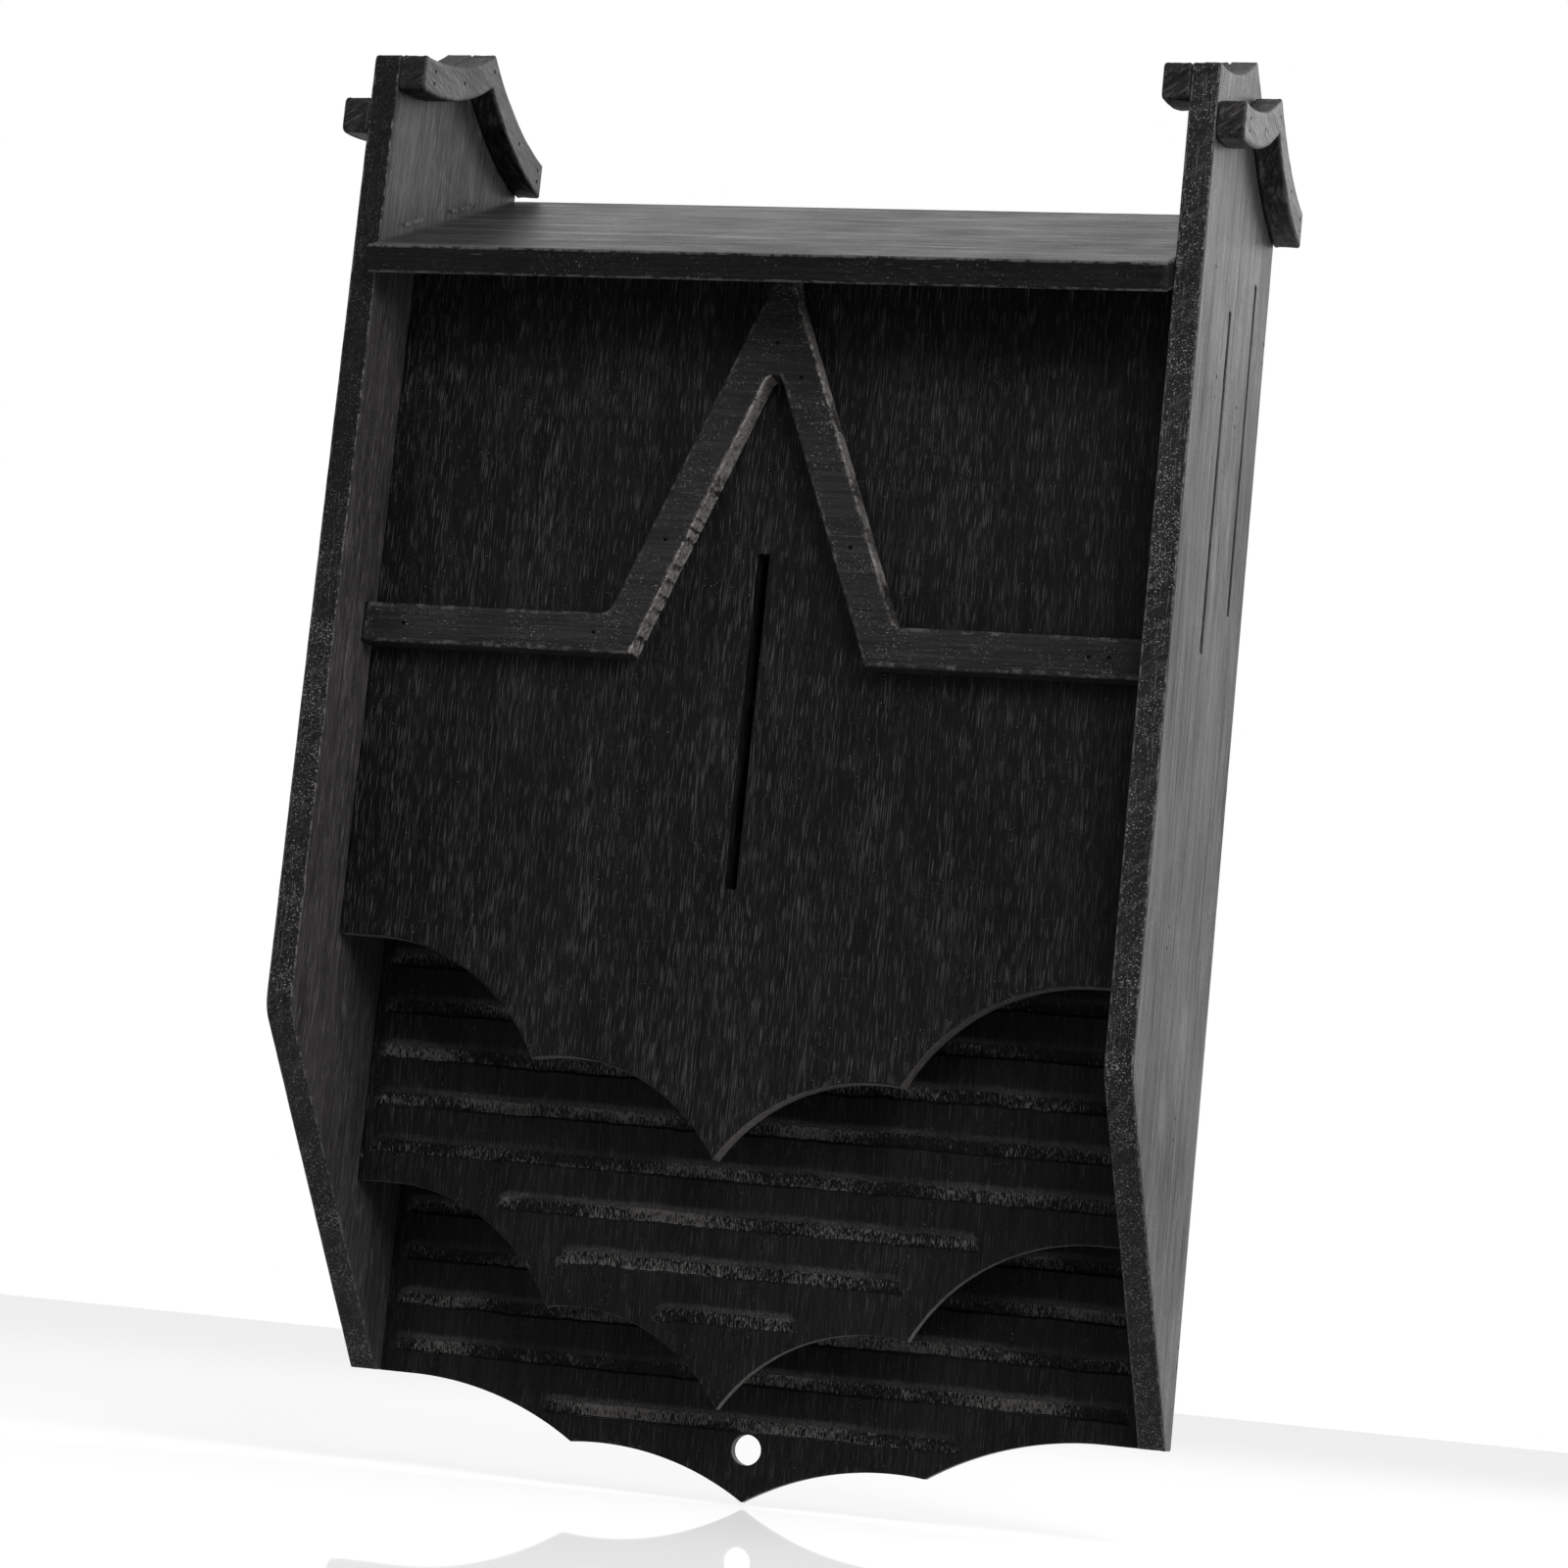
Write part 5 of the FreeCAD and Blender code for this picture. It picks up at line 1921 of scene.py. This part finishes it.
@dataclass
class Chevron:
    """The trim on the front board: two level arms and two legs that meet under the roof."""

    finish: StainedWood = StainedWood(
        "stained_chevron", grain=Grain.ACROSS, deep=(0.0065, 0.0062, 0.0065), thin=(0.0270, 0.0254, 0.0260),
        streaks=0.3, flecks=0.85, wear=0.65, lines=0.6, gloss=0.10, bare=(0.25, 0.240, 0.224),
    )
    edges: StainedWood = StainedWood(
        "sawn_chevron_edge", grain=Grain.ACROSS, deep=(0.0050, 0.0047, 0.0049), thin=(0.0230, 0.0215, 0.0220),
        streaks=0.4, flecks=0.7, wear=0.25, fuzz=0.1, gloss=0.10, depth=0.16 * MM, bare=(0.25, 0.240, 0.224),
    )
    tooth: float = 4.8 * MM
    tooth_depth: float = 0.34 * MM
    thickness: float = 10.0 * MM
    base: float = 232.4 * MM
    arm: float = 13.1 * MM
    foot: float = 47.0 * MM
    leg: float = 13.5 * MM
    past_roof: float = 0.5 * MM
    inner_round: float = 3.0 * MM
    corner_round: float = 4.5 * MM

    def outline(self) -> Points:
        """The chevron's outline on its front face."""
        s = SIZES
        half, arm_top = s.half_width, self.base + self.arm
        apex = s.roof_underside(s.front_board_y) + self.past_roof
        slope = (apex - arm_top) / self.foot
        inner_apex = apex - self.leg * slope
        inner_foot = (inner_apex - self.base) / slope
        ceiling = s.roof_underside(s.front_board_y - self.thickness)
        shoulder = (apex - ceiling) / slope
        drawn = Outline(0.6 * MM).start(-half, self.base).line(-inner_foot, self.base)
        drawn.round_corner(0.0, inner_apex, self.inner_round, np.array((inner_foot, self.base)))
        drawn.line(inner_foot, self.base).line(half, self.base).line(half, arm_top)
        drawn.round_corner(self.foot, arm_top, self.corner_round, np.array((shoulder, ceiling)))
        drawn.line(shoulder, ceiling).line(-shoulder, ceiling)
        drawn.round_corner(-self.foot, arm_top, self.corner_round, np.array((-half, arm_top)))
        return drawn.line(-half, arm_top).line(-half, self.base).closed()

    def chiselled(self, flat: Points) -> Numbers:
        """Share of the way through each of the steps that the chisel left along a leg."""
        drift = 0.6 * ripple(flat[:, 1] / (9 * MM), flat[:, 1] * 0, 131)
        return np.mod(flat[:, 1] / self.tooth + drift, 1.0)

    def bite(self, flat: Points, outward: Points) -> Numbers:
        """How far the steps go into the left leg's lower edge."""
        lower = (outward[:, 0] > 0.3) & (outward[:, 1] < 0) & (flat[:, 0] < 0)
        return np.where(lower, self.tooth_depth * self.chiselled(flat), 0.0)

    def bare_and_lit_share(self, flat: Points, outward: Points) -> Numbers:
        """How bare the wood is along the edges that face the right, where it also stands for painted light
        from the lamps on that side.

        Args:
            flat: Points of the outline.
            outward: The way out of the wood at each.

        Returns:
            1 where it is bare, 0 where it is stained.
        """
        patch = ripple(flat[:, 1] / (8 * MM), flat[:, 0] / (8 * MM), 127)
        # Low on the left leg's lower edge, the chisel's steps get bands of painted shade.
        low = smooth((self.base + 75 * MM - flat[:, 1]) / (30 * MM))
        step = smooth((self.chiselled(flat) - 0.50) / 0.45)
        lower = (0.80 + 0.28 * patch) * (1 - 0.55 * low * step)
        upper = 0.52 + 0.34 * patch
        bare = np.where(outward[:, 1] < 0, lower, upper)
        # Only edges that face the right get this: bare wood with painted light from the lamps on that side.
        return np.where((outward[:, 0] > 0.3) & (flat[:, 1] > self.base + 0.5 * MM), bare, 0.0)

    def build(self) -> None:
        """Make the chevron."""
        face_y = SIZES.front_board_y - self.thickness
        board = Board(
            name="chevron_wood",
            plane=facing_front(face_y),
            outer=self.outline(),
            thickness=self.thickness,
            holes=SIZES.brad_slots(brad_places("chevron_brads", (0, 2))),
            rim=0.75 * MM,
            grid=(1.0 * MM, 1.6 * MM),
            front=RaisedGrain(pitch=1.0 * MM, reach=9 * MM, height=0.09 * MM, along_up=False, seed=121),
            shift=SIZES.under_roof(SIZES.roof_underside(face_y)),
            raw_and_lit=self.bare_and_lit_share,
            bite=self.bite,
            wall_rings=6,
            ragged=0.16 * MM,
            seed=123,
        )
        settle(board.build(self.finish.build(), self.edges.build()), "stained_chevron", "chevron")


@dataclass
class TornSpots:
    """Places where the saw has torn the wood's edges: tufts of fibres with the colour rubbed off.

    Attributes:
        spots: Both ends of each place, in millimetres.
        points: How many points lie along each.
    """

    finish: StainedWood = StainedWood(
        "torn_edge_wood", deep=(0.020, 0.0188, 0.0180), thin=(0.075, 0.071, 0.068), worn=(0.20, 0.192, 0.184),
        fuzz=0.6, wear=1.0, streaks=0.8,
    )
    spots: tuple[tuple[tuple[float, float, float], tuple[float, float, float]], ...] = (
        ((-129.4, -116.0, 379.5), (-129.6, -115.6, 387.0)),
        ((-129.0, -100.0, 369.4), (-129.0, -86.0, 375.2)),
        ((-129.0, -60.0, 385.8), (-129.0, -40.0, 394.1)),
        ((-119.6, -126.3, 352.8), (-117.8, -126.3, 352.6)),
        ((-38.2, -92.0, 235.5), (-36.4, -92.0, 232.6)),
    )
    points: int = 8

    def build(self) -> None:
        """Make the tufts."""
        lines = [np.linspace(*np.array(ends) * MM, self.points) for ends in self.spots]
        tufts = Splinters(
            "torn_spots", lines, spacing=0.22 * MM, length=1.3 * MM, scatter=0.6 * MM,
            torn=0.0, worn=0.8, seed=9,
        )
        settle(tufts.build(self.finish.build()), "stained_side")


@dataclass
class Brads:
    """The flat-wire brads, which stay as the frame has them."""

    finish: BradWire = BradWire()

    def build(self) -> None:
        """Give every brad its finish."""
        finish = self.finish.build()
        for name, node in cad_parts.items():
            if not name.endswith("_brads"):
                continue
            node.data.materials.clear()
            node.data.materials.append(finish)
            log.info("%s: carried over from the frame", name)


# Stage.


@dataclass(frozen=True)
class Lamp:
    """A soft square lamp that looks at the middle of the box."""

    name: str
    place: tuple[float, float, float]
    size: float
    power: float


@dataclass
class Stage:
    """Floor, daylight, lamps and camera.

    Attributes:
        ambient: Strength of the surroundings as a light. Where they are seen, they are white.
        aim: The place that the lamps look at.
        floor_tone: The floor's own grey, and floor_glow what it gives off where it is seen.
        floor_polish: Roughness of its gloss, and floor_gloss the share of that.
        camera_turns: Turns about the upright, sideways and viewing axes, in degrees.
    """

    ambient: float = 0.15
    aim: tuple[float, float, float] = (0.0, -60.0 * MM, 210.0 * MM)
    floor_z: float = -31.8 * MM
    floor_reach: float = 8.0
    floor_tone: float = 0.60
    floor_glow: float = 0.70
    floor_polish: float = 0.02
    floor_gloss: float = 0.3
    lamps: tuple[Lamp, ...] = (
        Lamp("lamp_key", (0.94, -1.75, 1.18), 0.8, 24.0),
        Lamp("lamp_side", (2.05, -0.76, 0.50), 0.9, 20.0),
        Lamp("lamp_rear", (1.00, 1.55, 1.30), 1.0, 10.0),
        Lamp("lamp_left", (-1.9, -0.9, 0.8), 1.2, 4.0),
    )
    camera_place: tuple[float, float, float] = (0.3741, -1.3190, 0.0195)
    camera_turns: tuple[float, float, float] = (-16.28, -7.79, 5.71)
    lens: float = 94.72

    def seen(self, tree: bpy.types.NodeTree) -> bpy.types.NodeSocket:
        """Tell rays that show the surroundings from those that light the box.

        Args:
            tree: The nodes of the world or of a material.

        Returns:
            1 for the first, 0 for the others.
        """
        path = tree.nodes.new("ShaderNodeLightPath")
        total = path.outputs["Is Camera Ray"]
        for name in ("Is Glossy Ray", "Is Transmission Ray"):
            either = tree.nodes.new("ShaderNodeMath")
            either.operation = "MAXIMUM"
            tree.links.new(total, either.inputs[0])
            tree.links.new(path.outputs[name], either.inputs[1])
            total = either.outputs[0]
        return total

    def shader(
        self, tree: bpy.types.NodeTree, kind: str, colour: tuple[float, ...], **levels: float
    ) -> bpy.types.NodeSocket:
        """Add a plain shader.

        Args:
            tree: The nodes that it joins.
            kind: Its kind.
            colour: Its colour.
            levels: Its other inputs, by name.

        Returns:
            What it gives.
        """
        made = tree.nodes.new(f"ShaderNode{kind}")
        made.inputs["Color"].default_value = colour
        for name, level in levels.items():
            made.inputs[name].default_value = level
        return made.outputs[0]

    def join(
        self, tree: bpy.types.NodeTree, kind: str, *feeds: bpy.types.NodeSocket | float
    ) -> bpy.types.NodeSocket:
        """Add a node that joins shaders.

        Args:
            tree: The nodes that it joins.
            kind: Its kind.
            feeds: A socket or a number for each of its inputs, in their order.

        Returns:
            What it gives.
        """
        made = tree.nodes.new(f"ShaderNode{kind}")
        for slot_in, feed in zip(made.inputs, feeds):
            if isinstance(feed, bpy.types.NodeSocket):
                tree.links.new(feed, slot_in)
            else:
                slot_in.default_value = feed
        return made.outputs[0]

    def world(self) -> None:
        """Plain surroundings: white where they are seen, dimmer as a light."""
        world = bpy.data.worlds.new("studio")
        bpy.context.scene.world = world
        world.use_nodes = True
        tree = world.node_tree
        tree.nodes.clear()
        dim = self.shader(tree, "Background", WHITE, Strength=self.ambient)
        white = self.shader(tree, "Background", WHITE, Strength=1.0)
        output = tree.nodes.new("ShaderNodeOutputWorld")
        tree.links.new(self.join(tree, "MixShader", self.seen(tree), dim, white), output.inputs["Surface"])

    def floor(self) -> None:
        """A pale floor that keeps the box's shadow and shows a faint reflection."""
        mesh = bpy.data.meshes.new("floor")
        reach = self.floor_reach
        corners = [(x * reach, y * reach, self.floor_z) for x, y in ((-1, -1), (1, -1), (1, 1), (-1, 1))]
        mesh.from_pydata(corners, [], [(0, 1, 2, 3)])
        graph = NodeGraph("pale_floor")
        tree = graph.tree
        pale = self.shader(tree, "BsdfDiffuse", (self.floor_tone,) * 3 + (1.0,))
        glow = self.shader(tree, "Emission", WHITE, Strength=self.floor_glow)
        polish = self.shader(tree, "BsdfGlossy", WHITE, Roughness=self.floor_polish)
        lit = self.join(tree, "AddShader", pale, glow)
        shown = self.join(tree, "MixShader", self.floor_gloss, lit, polish)
        output = graph.node("ShaderNodeOutputMaterial")
        tree.links.new(self.join(tree, "MixShader", self.seen(tree), pale, shown), output.inputs["Surface"])
        mesh.materials.append(graph.material)
        add_object("floor", mesh)

    def light(self) -> None:
        """Hang the lamps."""
        for lamp in self.lamps:
            data = bpy.data.lights.new(lamp.name, "AREA")
            data.energy, data.size = lamp.power, lamp.size
            made = add_object(lamp.name, data)
            made.location = lamp.place
            way = Vector(self.aim) - Vector(lamp.place)
            made.rotation_euler = way.to_track_quat("-Z", "Y").to_euler()

    def camera(self) -> None:
        """Set the camera low, to the right of the box, looking up."""
        about_z, about_x, about_y = (math.radians(turn) for turn in self.camera_turns)
        turn = Matrix.Rotation(about_y, 3, "Y") @ Matrix.Rotation(about_x, 3, "X")
        right, ahead, up = turn @ Matrix.Rotation(about_z, 3, "Z")
        pose = Matrix((right, up, -ahead)).transposed().to_4x4()
        pose.translation = self.camera_place
        data = bpy.data.cameras.new("camera")
        data.lens, data.sensor_width = self.lens, 36.0
        made = add_object("camera", data)
        made.matrix_world = pose
        bpy.context.scene.camera = made

    def build(self) -> None:
        """Set the whole stage."""
        bpy.context.scene.view_settings.view_transform = "Standard"
        self.world()
        self.floor()
        self.light()
        self.camera()
        log.info("stage: floor, %d lamps, camera", len(self.lamps))


def main() -> None:
    """Build the stage and the box, piece by piece."""
    logging.basicConfig(level=logging.INFO, format="%(name)s: %(message)s")
    for group in (Stage(), SideBoards(), Wings(), Roof(), HangingBoards(), Chevron(), TornSpots(), Brads()):
        log.info("building %s", type(group).__name__)
        group.build()


if __name__ == "__main__":
    main()
